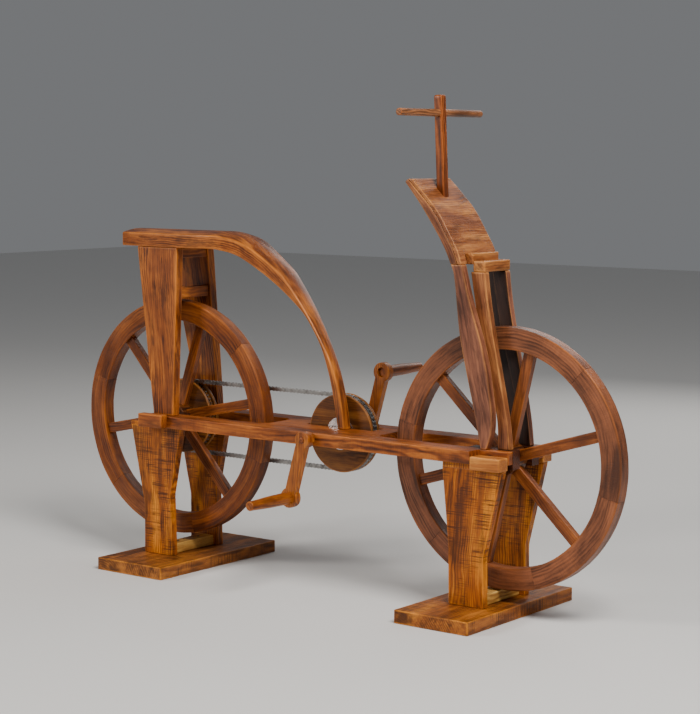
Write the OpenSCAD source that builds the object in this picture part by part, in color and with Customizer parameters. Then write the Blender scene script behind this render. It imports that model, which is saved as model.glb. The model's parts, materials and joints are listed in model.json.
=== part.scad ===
// A wooden two-wheeled bicycle with a chain drive, held clear of the floor by two stands.
// Millimetres, +Z up, +X to the front, the rider's left is +Y.
// The origin is on the floor, half way between the two wheel axles.

/* [Show] */
// Which piece to draw

/* [Wheels] */
// Outside diameter of both wheels
wheel_d = 700; // [560:1:860]
// Clear space between the two wheels
wheel_space = 464; // [380:1:640]
// Radial depth of the rim
rim_depth = 60; // [40:1:80]
// Rim thickness, across the bicycle
rim_t = 42; // [30:1:50]
// Joint line left between two rim segments
felloe_joint = 0.4; // [0.3:0.1:1]
// Spokes, and rim segments, in each wheel
spoke_n = 6; // [4:1:8]
// Angle of the rear wheel's first spoke above the horizontal, in degrees
rear_phase = 12; // [0:1:40]
// Angle of the front wheel's first spoke above the horizontal, in degrees
front_phase = 17; // [0:1:40]
// Spoke width, in the plane of the wheel
spoke_w = 31; // [20:1:40]
// Spoke thickness, across the bicycle
spoke_t = 22; // [16:1:24]
// Hub diameter
hub_d = 84; // [64:1:120]
// Hub length
hub_l = 56; // [48:1:64]
// Diameter of the steel wheel axles
axle_d = 16; // [10:0.5:20]
// Thickness of the washers beside the hubs
washer_t = 1.4; // [1:0.1:3]
// Wall of the bush pressed into each hub
bush_wall = 4; // [2:0.5:8]
// How far the front axle lies below the rear one
front_drop = 14; // [0:1:18]

/* [Stands] */
// Thickness of the base plates
base_t = 37; // [20:1:60]
// Size of the rear base plate along the bicycle
rear_base_w = 250; // [190:1:300]
// Size of the front base plate along the bicycle
front_base_w = 232; // [190:1:300]
// Size of a base plate across the bicycle
base_l = 517; // [440:1:640]
// Gap between the front wheel and its base plate
wheel_lift = 34; // [10:1:80]
// Distance of the rear base plate's middle ahead of the rear axle
rear_base_fwd = 33; // [0:1:80]
// Distance of the front base plate's middle behind the front axle
front_base_back = 67; // [0:1:90]
// Thickness of the stand legs
leg_t = 25; // [16:1:30]
// Width of a leg at its foot
leg_foot_w = 110; // [70:1:150]
// Width of a leg under the frame
leg_top_w = 196; // [140:1:220]
// Height of the knee where a leg starts to widen
knee_h = 145; // [90:1:220]
// Height of the batten between two legs
batten_h = 30; // [20:1:50]
// Width of that batten
batten_w = 46; // [30:1:70]
// Diameter of a nail's shank
nail_d = 4; // [3:0.5:6]
// Length of a nail's shank
nail_l = 38; // [20:1:50]

/* [Frame] */
// Width over both rails
frame_w = 262; // [240:1:300]
// Width of the wheel slots, which is the distance between the rails
slot_w = 128; // [126:1:150]
// Height of the rails
rail_h = 36; // [34:1:50]
// Gap between a wheel and the end of its slot
slot_gap = 38; // [15:1:60]
// Corner radius of the slots
slot_r = 30; // [5:1:60]
// Length of the frame behind the rear axle
tail = 22; // [18:1:60]
// Length of the frame ahead of the front axle
nose = 55; // [30:1:80]
// Length of the blocks that hold the ends of the axles
block_l = 92; // [70:1:110]
// How far the rear blocks stand out from the rails
block_out = 27; // [16:1:40]
// How far the rear blocks rise above the rails
block_rise = 6; // [0:1:12]
// Thickness of the rail tongue that the front blocks lie against
tongue_t = 23; // [16:1:30]
// Length of the inner cheeks at the front axle
cheek_l = 137; // [60:1:160]

/* [Seat] */
// Height of the saddle board's underside above the rear wheel
seat_rise = 158; // [90:1:240]
// Thickness of the saddle board
saddle_t = 42; // [25:1:60]
// Length of the saddle board behind the rear axle
saddle_back = 158; // [120:1:200]
// Length of the saddle board ahead of the rear axle, up to the bend
saddle_fwd = 204; // [140:1:260]
// Greatest width of the saddle
saddle_w = 176; // [120:1:240]
// Width of the arch's foot
foot_w = 33; // [20:1:36]
// Thickness of the arch at its foot, along the bicycle
foot_t = 24; // [16:1:36]
// Distance of the arch's foot ahead of the crank axle
foot_fwd = 22; // [14:1:40]
// Rise of the saddle's middle above its long edges
crown = 10; // [2:0.5:16]
// Distance between the outer faces of the seat posts at the frame, and of the stand legs
post_span = 230; // [200:1:250]
// How far each seat post leans in, from the frame up to the saddle
post_lean = 33; // [0:1:50]
// Thickness of the seat posts
post_t = 29; // [20:1:34]
// Width of a seat post at the saddle
post_top_w = 158; // [100:1:200]
// Width of a seat post at the frame
post_foot_w = 77; // [50:1:90]
// Height of the brace and of the cleat between the posts
brace_h = 31; // [15:1:50]
// Thickness of the brace and of the cleat, along the bicycle
brace_t = 28; // [15:1:40]
// Gap between the rear wheel and the brace above it
brace_gap = 10; // [5:1:40]

/* [Front] */
// Width of the curved front board
board_w = 180; // [150:1:200]
// Thickness of its two legs, across the bicycle
board_leg_t = 26; // [16:1:30]
// Height above the front wheel where the board turns into two legs
board_split = 161; // [120:1:220]
// Width of the two yoke blocks, and over the fork blades
yoke_w = 124; // [110:1:128]
// Height of a yoke block
yoke_h = 29; // [18:1:40]
// Thickness of a fork blade, across the bicycle
blade_t = 22; // [12:1:26]
// Side of the square handle post
post_sq = 26; // [18:1:36]
// Height of the handle post's top above the front wheel
handle_rise = 603; // [500:1:720]
// Diameter of the hand bar
bar_d = 21; // [16:1:28]
// Length of the hand bar
bar_l = 380; // [260:1:480]
// Distance of the hand bar below the top of its post
bar_drop = 47; // [25:1:80]

/* [Drive] */
// Chain pitch
pitch = 12.7; // [9.525:0.001:15.875]
// Teeth on the chainwheel and on the rear sprocket
teeth = 52; // [44:4:60]
// Diameter of a chain roller
roller_d = 8.5; // [6:0.1:10]
// Width between the inner chain plates
chain_in = 7.75; // [5:0.05:9]
// Thickness of a chain plate
plate_t = 1.6; // [1:0.1:2]
// Height of a chain plate
plate_h = 11.8; // [9:0.1:12.6]
// Distance of the chain from the middle of the bicycle, to the left
chain_y = 32; // [30.5:0.5:36]
// Wanted distance of the crank axle ahead of the middle, moved to a whole link
crank_fwd = 15; // [0:1:60]
// Diameter of the wooden discs beside the chain
disc_d = 222; // [170:1:232]
// Thickness of the wooden discs
disc_t = 9; // [6:0.5:12]
// Clear width between two discs
disc_gap = 20; // [17:0.5:22]
// Diameter of the steel flanges on the chainwheel
flange_d = 92; // [60:1:120]
// Thickness of the flanges
flange_t = 3.5; // [2:0.5:4]
// Diameter of the crank axle
crank_axle_d = 18; // [12:0.5:22]
// Wall of the bushes in the rails
crank_bush_wall = 4; // [2:0.5:6]
// Bolts through the chainwheel
bolt_n = 6; // [3:1:8]
// Diameter of these bolts
bolt_d = 5; // [4:0.5:8]
// Circle on which the bolts lie
bolt_circle = 68; // [44:1:80]
// Centre distance of a crank arm
crank_l = 171; // [120:1:200]
// Angle of the left crank above the horizontal, in degrees
crank_angle = 74.3; // [0:0.1:180]
// Thickness of a crank arm
arm_t = 22; // [14:1:30]
// Diameter of a crank's big end
arm_big_d = 47; // [36:1:60]
// Diameter of a crank's small end
arm_small_d = 56; // [36:1:64]
// Thickness of the collar between a rail and a crank
collar_t = 9; // [4:1:20]
// Length of a pedal peg outside its crank
peg_l = 166; // [90:1:200]
// Diameter of a pedal peg at the crank
peg_d = 36; // [30:1:40]
// Diameter of a pedal peg at its end
peg_end_d = 27; // [16:1:32]
// Diameter of the spigot that turns in the crank
spigot_d = 28; // [12:1:29]

/* [Hidden] */
$fn = 96;
fit = 0.05;              // radial clearance of a running fit
seat = 0.15;             // gap between two curved wooden faces that are glued
run = 0.5;               // gap beside a piece that turns
wheel_r = wheel_d / 2;
rim_in = wheel_r - rim_depth;
rear_x = -(wheel_d + wheel_space) / 2;
front_x = -rear_x;
front_z = base_t + wheel_lift + wheel_r;
rear_z = front_z + front_drop;
rear_top = rear_z + wheel_r;
front_top = front_z + wheel_r;
rail_z0 = rear_z - rail_h / 2;
rail_z1 = rear_z + rail_h / 2;
rail_y0 = slot_w / 2;
rail_y1 = frame_w / 2;
frame_x0 = rear_x - tail;
frame_x1 = front_x + nose;
block_x = frame_x1 - block_l;
board_x0 = rear_x + wheel_r + slot_gap;
board_x1 = front_x - wheel_r - slot_gap;
washer_y = hub_l / 2 + 0.3;       // inner face of the washers beside a hub
cheek_y = washer_y + washer_t + 0.3;
// drive
pitch_r = pitch / (2 * sin(180 / teeth));
chain_run = round((crank_fwd - rear_x) / pitch);
crank_x = rear_x + chain_run * pitch;
crank_z = rear_z;
ring_t = chain_in - 0.75;
disc_y0 = chain_y - disc_gap / 2 - disc_t;
disc_y1 = chain_y + disc_gap / 2 + disc_t;
wheel_slot_r = max(disc_d / 2, pitch_r + plate_h / 2) + 6;
far_cheek_y = disc_y1 + 0.6 + washer_t;
slot_y = disc_y0 - flange_t - 5.5;
arm_y = rail_y1 + 1.5 + collar_t + run;
arm_y1 = arm_y + arm_t;
// seat
seat_z = rear_top + seat_rise;
post_y1 = post_span / 2;
post_y0 = post_y1 - post_t;
foot_x = crank_x + foot_fwd;
foot_y1 = slot_y - 2;
// front
board_y = board_w / 2;
split_z = front_top + board_split;
handle_top = front_top + handle_rise;
bar_z = handle_top - bar_drop;
lean = 2.6;
post_top_x = front_x - 228.5;
tenon_z = split_z + 143;

oak = [0.55, 0.32, 0.15];
dark = [0.36, 0.20, 0.11];
pale = [0.80, 0.66, 0.45];
steel = [0.55, 0.56, 0.58];
bronze = [0.62, 0.45, 0.22];

// A smooth line through the points p, in n steps between two of them
function blend(a, b, c, d, t) = (2 * b + (c - a) * t + (2 * a - 5 * b + 4 * c - d) * t * t
  + (3 * b - a - 3 * c + d) * t * t * t) / 2;
function smooth_line(p, n) = [for (i = [0:len(p) - 2], k = [0:n - 1])
  blend(p[max(i - 1, 0)], p[i], p[i + 1], p[min(i + 2, len(p) - 1)], k / n), p[len(p) - 1]];
function reversed(p) = [for (i = [len(p) - 1:-1:0]) p[i]];

// A side view, drawn in x and z, from y0 to y1
module along_y(y0, y1) {
  translate([0, y1, 0]) rotate([90, 0, 0]) linear_extrude(y1 - y0) children();
}
// A view from the front, drawn in y and z, from x0 to x1
module along_x(x0, x1) {
  translate([x0, 0, 0]) rotate([90, 0, 90]) linear_extrude(x1 - x0) children();
}
module rod(x, z, d, y0, y1) {
  along_y(y0, y1) translate([x, z]) circle(d = d);
}
module tube(x, z, d, bore, y0, y1) {
  along_y(y0, y1) translate([x, z]) difference() { circle(d = d); circle(d = bore); }
}
module box(lo, hi) {
  translate(lo) cube(hi - lo);
}
module to_left() {
  mirror([0, 1, 0]) children();
}

// ---- stands
rear_stand_x = rear_x + rear_base_fwd;
front_stand_x = front_x - front_base_back;
rear_leg_x = rear_stand_x - 16;
front_leg_x = front_stand_x + 13;
leg_y1 = post_span / 2;
leg_y0 = leg_y1 - leg_t;
module base(x, w) {
  color(oak) box([x - w / 2, -base_l / 2, 0], [x + w / 2, base_l / 2, base_t]);
}
// Side view of a rear leg, with the horn behind the end of the rail
module rear_leg() {
  x0 = rear_leg_x - leg_foot_w / 2;
  x1 = rear_leg_x + leg_foot_w / 2;
  t0 = rear_leg_x - leg_top_w * 0.56;
  t1 = rear_leg_x + leg_top_w * 0.46;
  color(oak) along_y(-leg_y1, -leg_y0) polygon([[x0, base_t], [x1, base_t],
    [x1 - 6, base_t + knee_h * 1.25], [t1, rail_z0], [frame_x0 - 1, rail_z0],
    [frame_x0 - 1, rail_z0 + 8], [t0, rail_z0 + 15], [x0, base_t + knee_h]]);
}
// Side view of a front leg, stepped under the end block
module front_leg() {
  x0 = front_leg_x - leg_foot_w / 2;
  x1 = front_leg_x + leg_foot_w / 2;
  t0 = front_leg_x - leg_top_w * 0.41;
  t1 = front_leg_x + leg_top_w * 0.55;
  low = front_z - rail_h / 2;
  color(oak) along_y(-leg_y1, -leg_y0) polygon([[x0, base_t], [x1, base_t],
    [x1 - 3, base_t + knee_h * 0.93], [t1, low], [block_x, low], [block_x, rail_z0],
    [t0, rail_z0], [x0 - 3, base_t + knee_h * 1.1]]);
}
module batten(x) {
  color(pale) difference() {
    box([x - batten_w / 2, -leg_y0, base_t], [x + batten_w / 2, leg_y0, base_t + batten_h]);
    for (y = [-leg_y0 / 2, leg_y0 / 2]) batten_nail(x, y, 2 * fit);
  }
}
module batten_nail(x, y, grow) {
  translate([x, y, base_t + batten_h - nail_l]) cylinder(d = nail_d + grow, h = nail_l + 1);
}
batten_rear_x = rear_leg_x + 15;
batten_front_x = front_leg_x + 15;
module stand_nails() {
  color(steel) for (x = [batten_rear_x, batten_front_x], y = [-leg_y0 / 2, leg_y0 / 2])
    intersection() {
      union() {
        batten_nail(x, y, 0);
        translate([x, y, base_t + batten_h]) cylinder(d = nail_d * 2, h = 1.2);
      }
      box([x - 9, y - 9, base_t + 1], [x + 9, y + 9, base_t + batten_h + 1.2]);
    }
}

// ---- frame
module axle_holes(grow) {
  rod(rear_x, rear_z, axle_d + grow, -frame_w, frame_w);
  rod(front_x, front_z, axle_d + grow, -frame_w, frame_w);
}
module rail() {
  color(oak) difference() {
    box([frame_x0, -rail_y1, rail_z0], [frame_x1, -rail_y0, rail_z1]);
    box([block_x, -rail_y1 - 1, rail_z0 - 1], [frame_x1 + 1, -rail_y0 - tongue_t, rail_z1 + 1]);
    axle_holes(2 * fit);
    rod(crank_x, crank_z, crank_axle_d + 2 * crank_bush_wall + 2 * fit, -frame_w, 0);
  }
}
// The wheel slots leave the centre board with hollow, rounded ends
module slot_end(x) {
  translate([x, 0]) square([2 * slot_r, slot_w - 2 * slot_r], center = true);
}
module centre_plan() {
  difference() {
    translate([board_x0 - slot_r, -rail_y0])
      square([board_x1 - board_x0 + 2 * slot_r, slot_w]);
    for (e = [[board_x0 - slot_r, 1], [board_x1 + slot_r, -1]]) {
      slot_end(e[0]);
      for (y = [slot_r - rail_y0, rail_y0 - slot_r]) translate([e[0], y]) circle(slot_r);
    }
  }
}
module centre_part(y0, y1) {
  difference() {
    translate([0, 0, rail_z0]) linear_extrude(rail_h) intersection() {
      centre_plan();
      translate([board_x0 - wheel_d, y0]) square([2 * wheel_d, y1 - y0]);
    }
    rod(crank_x, crank_z, crank_axle_d + 4, -frame_w, slot_y + 1);
  }
}
module centre_board() {
  color(oak) centre_part(-rail_y0, slot_y);
}
module slot_blocks() {
  color(oak) difference() {
    centre_part(slot_y, rail_y0);
    box([crank_x - wheel_slot_r, slot_y - 1, rail_z0 - 1],
      [crank_x + wheel_slot_r, rail_y0 + 1, rail_z1 + 1]);
  }
}
module end_block_rear() {
  color(oak) difference() {
    box([frame_x0, -rail_y1 - block_out, rail_z0 + 2],
      [frame_x0 + block_l, -rail_y1, rail_z1 + block_rise]);
    rod(rear_x, rear_z, axle_d + 2 * fit, -rail_y1 - block_out + 10, 0);
  }
}
module end_block_front() {
  color(pale) difference() {
    box([block_x, -rail_y1, front_z - rail_h / 2],
      [frame_x1, -rail_y0 - tongue_t, front_z + rail_h / 2]);
    rod(front_x, front_z, axle_d + 2 * fit, -rail_y1 + 10, 0);
  }
}
module front_cheek() {
  box([frame_x1 - cheek_l, -rail_y0, front_z - rail_h / 2], [frame_x1, -cheek_y, rail_z1]);
}
module axle_cheeks() {
  color(dark) difference() {
    union() {
      box([frame_x0, -rail_y0, rail_z0], [frame_x0 + block_l, -cheek_y, rail_z1]);
      box([frame_x0, far_cheek_y, rail_z0], [frame_x0 + block_l, rail_y0, rail_z1]);
      front_cheek();
      to_left() front_cheek();
    }
    axle_holes(2 * fit);
  }
}

// ---- seat
post_x = rear_x + 78;
function lean_in(z) = post_lean * (z - rail_z1) / (seat_z - rail_z1);
module seat_post() {
  front_top = post_x - 11;
  color(oak) intersection() {
    along_y(-frame_w, 0) polygon([[post_x - post_foot_w, rail_z1], [post_x, rail_z1],
      [front_top, seat_z], [front_top - post_top_w, seat_z]]);
    along_x(2 * rear_x, 0) polygon([[-post_y1, rail_z1], [-post_y0, rail_z1],
      [post_lean - post_y0, seat_z], [post_lean - post_y1, seat_z]]);
  }
}
// A bar between the inner faces of the two posts
module cross_bar(z) {
  low = post_y0 - lean_in(z);
  top = post_y0 - lean_in(z + brace_h);
  x1 = post_x - 16;
  along_x(x1 - brace_t, x1)
    polygon([[-low, z], [low, z], [top, z + brace_h], [-top, z + brace_h]]);
}
module seat_brace() {
  color(oak) cross_bar(rear_top + brace_gap);
}
module seat_cleat() {
  color(oak) cross_bar(seat_z - brace_h);
}
// Share of the way from the bend to the foot, along x and down, for the two edges of the arch
arch_low = [[0, 0], [0.163, 0.031], [0.340, 0.115], [0.488, 0.199], [0.608, 0.275],
  [0.727, 0.366], [0.835, 0.500], [0.893, 0.612], [0.947, 0.767], [1, 1]];
arch_top = [[0, 0], [0.193, 0.037], [0.414, 0.149], [0.525, 0.226], [0.698, 0.397],
  [0.834, 0.570], [0.919, 0.713], [0.968, 0.850], [1, 1]];
bend_x = rear_x + saddle_fwd;
module arch_side() {
  z0 = rail_z1;
  edge_z = seat_z + saddle_t - 2;
  low = [for (s = arch_low) [bend_x + s[0] * (foot_x - bend_x), seat_z - s[1] * (seat_z - z0)]];
  top = [for (s = arch_top) [bend_x + s[0] * (foot_x + foot_t - bend_x),
    edge_z - s[1] * (edge_z - z0)]];
  polygon(concat([[rear_x - saddle_back, seat_z]], smooth_line(low, 4),
    reversed(smooth_line(top, 4)), [[bend_x - 70, edge_z + crown],
    [rear_x - saddle_back, edge_z + crown]]));
}
// Along the saddle from its back end to the bend, then from the bend to the foot: how far, and
// the half width as a share of half of saddle_w
saddle_plan = [[0, 0.86], [0.06, 0.92], [0.2, 0.97], [0.5, 1], [0.8, 1], [0.96, 0.93]];
arch_plan = [[0.16, 0.72], [0.32, 0.56], [0.5, 0.45], [0.65, 0.37], [0.8, 0.29], [0.92, 0.225]];
foot_y = foot_y1 - foot_w / 2;
module arch_plan_half(s) {
  back_x = rear_x - saddle_back;
  saddle = [for (p = saddle_plan) [back_x + p[0] * (bend_x - back_x), s * p[1] * saddle_w / 2]];
  arch = [for (p = arch_plan) [bend_x + p[0] * (foot_x - bend_x),
    s * p[1] * saddle_w / 2 + max(0, 2 * p[0] - 1) * foot_y]];
  end = [for (x = [foot_x, foot_x + foot_t + 1]) [x, foot_y + s * foot_w / 2]];
  middle = [[foot_x + foot_t + 1, foot_y], [bend_x + 0.5 * (foot_x - bend_x), 0], [back_x, 0]];
  polygon(concat(smooth_line(concat(saddle, arch, end), 3), middle));
}
module saddle_arch() {
  crown_r = (pow(saddle_w / 2, 2) + pow(crown, 2)) / (2 * crown);
  color(oak) intersection() {
    along_y(-saddle_w, saddle_w) arch_side();
    translate([0, 0, rail_z1]) linear_extrude(2 * seat_z) {
      arch_plan_half(-1);
      arch_plan_half(1);
    }
    along_x(2 * rear_x, front_x) translate([0, seat_z + saddle_t - 2 + crown - crown_r])
      circle(crown_r);
  }
}

// ---- front board, yokes, fork and handle
// Edges of the board and its legs: x behind the front axle, then height as a share of the way
// from the rails to the split, and above the split in millimetres over it
rear_edge = [[-30, 0], [-53, 0.214], [-79, 0.429], [-101, 0.639], [-118, 0.927], [-130, 1]];
front_edge = [[-12, 0], [2, 0.09], [4, 0.2], [-4, 0.31], [-14, 0.432], [-34, 0.593], [-70, 0.813],
  [-92, 0.979]];
rear_tip = [[-158, 55], [-218, 142], [-278, 213]];
front_tip = [[-107, 35], [-134, 81], [-177, 145], [-254, 221]];
function up(s) = [front_x + s[0], rail_z1 + s[1] * (split_z - rail_z1)];
function over(s) = [front_x + s[0], split_z + s[1]];
module front_side() {
  back = smooth_line(concat([for (s = rear_edge) up(s)], [for (s = rear_tip) over(s)]), 4);
  fore = smooth_line(concat([for (s = front_edge) up(s)], [for (s = front_tip) over(s)]), 4);
  polygon(concat(back, reversed(fore)));
}
module handle_prism(side, z0, z1) {
  translate([post_top_x, 0, handle_top]) rotate([0, -lean, 0])
    translate([-side / 2, -side / 2, z0 - handle_top]) cube([side, side, z1 - z0]);
}
module front_board() {
  color(dark) difference() {
    intersection() {
      along_y(-board_y, board_y) front_side();
      box([rear_x, -board_y - 1, split_z], [front_x, board_y + 1, handle_top]);
    }
    handle_prism(post_sq + 2 * fit, tenon_z - 60, handle_top);
  }
}
module board_leg() {
  color(dark) intersection() {
    along_y(-board_y, board_leg_t - board_y) front_side();
    box([rear_x, -board_y - 1, rail_z1], [frame_x1, 0, split_z]);
  }
}
yoke_x = front_x - 77;
blade_rear = [[-84, 1], [-61, 0.835], [-35, 0.613], [-8, 0.392], [9, 0.169], [10, 0]];
blade_front = [[-40, 1], [-30, 0.837], [-10, 0.616], [12, 0.394], [33, 0.172], [43, 0]];
fork_z = split_z - 19;
module yoke_rear() {
  color(oak) difference() {
    box([yoke_x - 50, -yoke_w / 2, split_z], [yoke_x, yoke_w / 2, split_z + yoke_h]);
    along_y(-yoke_w, yoke_w) front_side();
  }
}
module yoke_front() {
  color(oak) box([yoke_x, -yoke_w / 2, fork_z], [yoke_x + 37, yoke_w / 2, fork_z + yoke_h]);
}
module fork_blade() {
  function b(s) = [front_x + s[0], rail_z1 + s[1] * (fork_z - rail_z1)];
  color(oak) along_y(-yoke_w / 2, blade_t - yoke_w / 2) polygon(concat(
    smooth_line([for (s = blade_rear) b(s)], 3),
    reversed(smooth_line([for (s = blade_front) b(s)], 3))));
}
module handle_post() {
  color(oak) difference() {
    handle_prism(post_sq, tenon_z, handle_top);
    hand_bar_rod(bar_d + 2 * fit);
  }
}
module hand_bar_rod(d) {
  rod(post_top_x + bar_drop * tan(lean), bar_z, d, -bar_l / 2, bar_l / 2);
}
module hand_bar() {
  color(oak) hand_bar_rod(bar_d);
}

// ---- wheels
module front_axle() {
  color(steel) rod(front_x, front_z, axle_d, 12 - rail_y1, rail_y1 - 12);
}
module rear_axle() {
  reach = rail_y1 + block_out - 12;
  color(steel) rod(rear_x, rear_z, axle_d, -reach, reach);
}
module washer(x, z, y0, y1) {
  tube(x, z, axle_d * 2.4, axle_d + 2 * fit, y0, y1);
}
module axle_washers() {
  color(steel) {
    washer(rear_x, rear_z, -cheek_y, washer_t - cheek_y);
    washer(rear_x, rear_z, far_cheek_y - washer_t, far_cheek_y);
    washer(front_x, front_z, -cheek_y, washer_t - cheek_y);
    washer(front_x, front_z, cheek_y - washer_t, cheek_y);
  }
}
spoke_step = 360 / spoke_n;
module felloes(x, z, phase) {
  color(oak) for (i = [0:spoke_n - 1])
    along_y(-rim_t / 2, rim_t / 2) translate([x, z]) rotate(phase + i * spoke_step)
      intersection() {
        difference() { circle(wheel_r); circle(rim_in); }
        rotate(-spoke_step / 2) translate([0, felloe_joint / 2])
          square([wheel_d, wheel_d]);
        rotate(spoke_step / 2) translate([0, -felloe_joint / 2 - wheel_d])
          square([wheel_d, wheel_d]);
      }
}
module spokes(x, z, phase) {
  color(oak) for (i = [0:spoke_n - 1])
    along_y(-spoke_t / 2, spoke_t / 2) translate([x, z]) rotate(phase + i * spoke_step)
      difference() {
        intersection() {
          translate([0, -spoke_w / 2]) square([wheel_r, spoke_w]);
          circle(rim_in - seat);
        }
        circle(hub_d / 2 + seat);
      }
}
bush_d = axle_d + 2 * fit + 2 * bush_wall;
module front_hub() {
  color(dark) tube(front_x, front_z, hub_d, bush_d + 2 * fit, -hub_l / 2, hub_l / 2);
}
module front_bush() {
  color(bronze) tube(front_x, front_z, bush_d, axle_d + 2 * fit, -hub_l / 2, hub_l / 2);
}
spigot_hub_d = hub_d * 0.7;
module rear_hub() {
  color(dark) difference() {
    union() {
      rod(rear_x, rear_z, hub_d, -hub_l / 2, disc_y0);
      rod(rear_x, rear_z, spigot_hub_d, -hub_l / 2, disc_y1);
    }
    rod(rear_x, rear_z, bush_d + 2 * fit, -frame_w, frame_w);
  }
}
module rear_bush() {
  color(bronze) tube(rear_x, rear_z, bush_d, axle_d + 2 * fit, -hub_l / 2, disc_y1);
}

// ---- chain drive
// A wooden disc with the inner boss that carries the toothed ring
boss_d = 2 * (pitch_r - plate_h / 2 - 4);
module disc_half(x, z, bore) {
  difference() {
    union() {
      rod(x, z, disc_d, disc_y0, disc_y0 + disc_t);
      rod(x, z, boss_d, disc_y0, chain_y - ring_t / 2);
    }
    rod(x, z, bore + 2 * fit, -frame_w, frame_w);
  }
}
module disc_other(x, z, bore) {
  translate([0, 2 * chain_y, 0]) to_left() disc_half(x, z, bore);
}
// Toothed ring: the root circle with a tooth between every two rollers
module teeth_ring(x, z, bore) {
  tip = pitch_r + roller_d * 0.36;
  root = pitch_r - roller_d / 2;
  step = 360 / teeth;
  half = step / 2 * (1 - (roller_d + 0.9) / pitch);
  outline = [for (i = [0:teeth - 1], k = [[root, -step / 2], [root, -half * 1.4],
    [tip, -half * 0.55], [tip, half * 0.55], [root, half * 1.4]])
    let (a = 90 + (i + 0.5) * step + k[1]) [k[0] * cos(a), k[0] * sin(a)]];
  along_y(chain_y - ring_t / 2, chain_y + ring_t / 2) translate([x, z]) difference() {
    polygon(outline);
    for (i = [0:teeth - 1]) rotate(90 + i * step) translate([pitch_r, 0])
      circle(d = roller_d + 0.9, $fn = 32);
    circle(d = bore + 2 * fit);
  }
}
module sprocket_disc_right() {
  color(oak) disc_half(rear_x, rear_z, spigot_hub_d);
}
module sprocket_disc_left() {
  color(oak) disc_other(rear_x, rear_z, spigot_hub_d);
}
module rear_sprocket() {
  color(steel) teeth_ring(rear_x, rear_z, spigot_hub_d);
}
module bolt_holes() {
  for (i = [0:bolt_n - 1]) bolt(i, bolt_d + 2 * fit, 10);
}
module bolt(i, d, extra) {
  a = crank_angle + (i + 0.5) * 360 / bolt_n;
  r = bolt_circle / 2;
  rod(crank_x + r * cos(a), crank_z + r * sin(a), d, disc_y0 - flange_t - extra, disc_y1 + extra);
}
module chainwheel_disc_right() {
  color(oak) difference() {
    disc_half(crank_x, crank_z, crank_axle_d);
    bolt_holes();
  }
}
module chainwheel_disc_left() {
  color(oak) difference() {
    disc_other(crank_x, crank_z, crank_axle_d);
    bolt_holes();
  }
}
module chainwheel() {
  color(steel) difference() {
    teeth_ring(crank_x, crank_z, crank_axle_d);
    bolt_holes();
  }
}
module crank_flanges() {
  color(steel) difference() {
    for (y = [disc_y0 - flange_t, disc_y1])
      tube(crank_x, crank_z, flange_d, crank_axle_d + 2 * fit, y, y + flange_t);
    bolt_holes();
  }
}
module chainwheel_bolts() {
  color(steel) for (i = [0:bolt_n - 1]) {
    bolt(i, bolt_d, 0);
    intersection() {
      bolt(i, bolt_d * 1.8, 3);
      box([crank_x - flange_d, disc_y0 - flange_t - 3, crank_z - flange_d],
        [crank_x + flange_d, disc_y0 - flange_t, crank_z + flange_d]);
    }
  }
}
module crank_axle() {
  color(steel) rod(crank_x, crank_z, crank_axle_d, 3 - arm_y1, arm_y1 - 3);
}
module crank_bush() {
  tube(crank_x, crank_z, crank_axle_d + 2 * crank_bush_wall, crank_axle_d + 2 * fit,
    -rail_y1, -rail_y0);
  tube(crank_x, crank_z, rail_h * 1.05, crank_axle_d + 2 * fit, -rail_y1 - 1.5, -rail_y1);
}
module crank_bushes() {
  color(bronze) {
    crank_bush();
    to_left() crank_bush();
  }
}
module crank_collars() {
  color(oak) for (y = [-arm_y, arm_y - collar_t])
    tube(crank_x, crank_z, arm_big_d - 2, crank_axle_d + 2 * fit, y, y + collar_t);
}
// The left crank points up at crank_angle, the right one the other way
function arm_end(s) = [crank_x + s * crank_l * cos(crank_angle),
  crank_z + s * crank_l * sin(crank_angle)];
module arm_side() {
  difference() {
    union() {
      circle(d = arm_big_d);
      translate([crank_l, 0]) circle(d = arm_small_d);
      polygon([[0, -arm_big_d * 0.36], [crank_l, -arm_small_d * 0.31],
        [crank_l, arm_small_d * 0.31], [0, arm_big_d * 0.36]]);
    }
    circle(d = crank_axle_d + 2 * fit);
    translate([crank_l, 0]) circle(d = spigot_d + 2 * fit);
  }
}
module crank_arm_left() {
  color(oak) along_y(arm_y, arm_y1) translate([crank_x, crank_z]) rotate(crank_angle) arm_side();
}
module crank_arm_right() {
  color(oak) along_y(-arm_y1, -arm_y) translate([crank_x, crank_z]) rotate(crank_angle + 180)
    arm_side();
}
// A pedal peg, drawn along +Z from the crank's outer face
module peg() {
  rotate_extrude() polygon([[0, 8 - arm_t], [spigot_d / 2, 8 - arm_t], [spigot_d / 2, run],
    [peg_d / 2, run], [peg_d / 2, 16], [peg_end_d / 2, peg_l - 4], [peg_end_d / 2 - 4, peg_l],
    [0, peg_l]]);
}
module pedal_left() {
  e = arm_end(1);
  color(oak) translate([e[0], arm_y1, e[1]]) rotate([-90, 0, 0]) peg();
}
module pedal_right() {
  e = arm_end(-1);
  color(oak) translate([e[0], -arm_y1, e[1]]) rotate([90, 0, 0]) peg();
}
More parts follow.
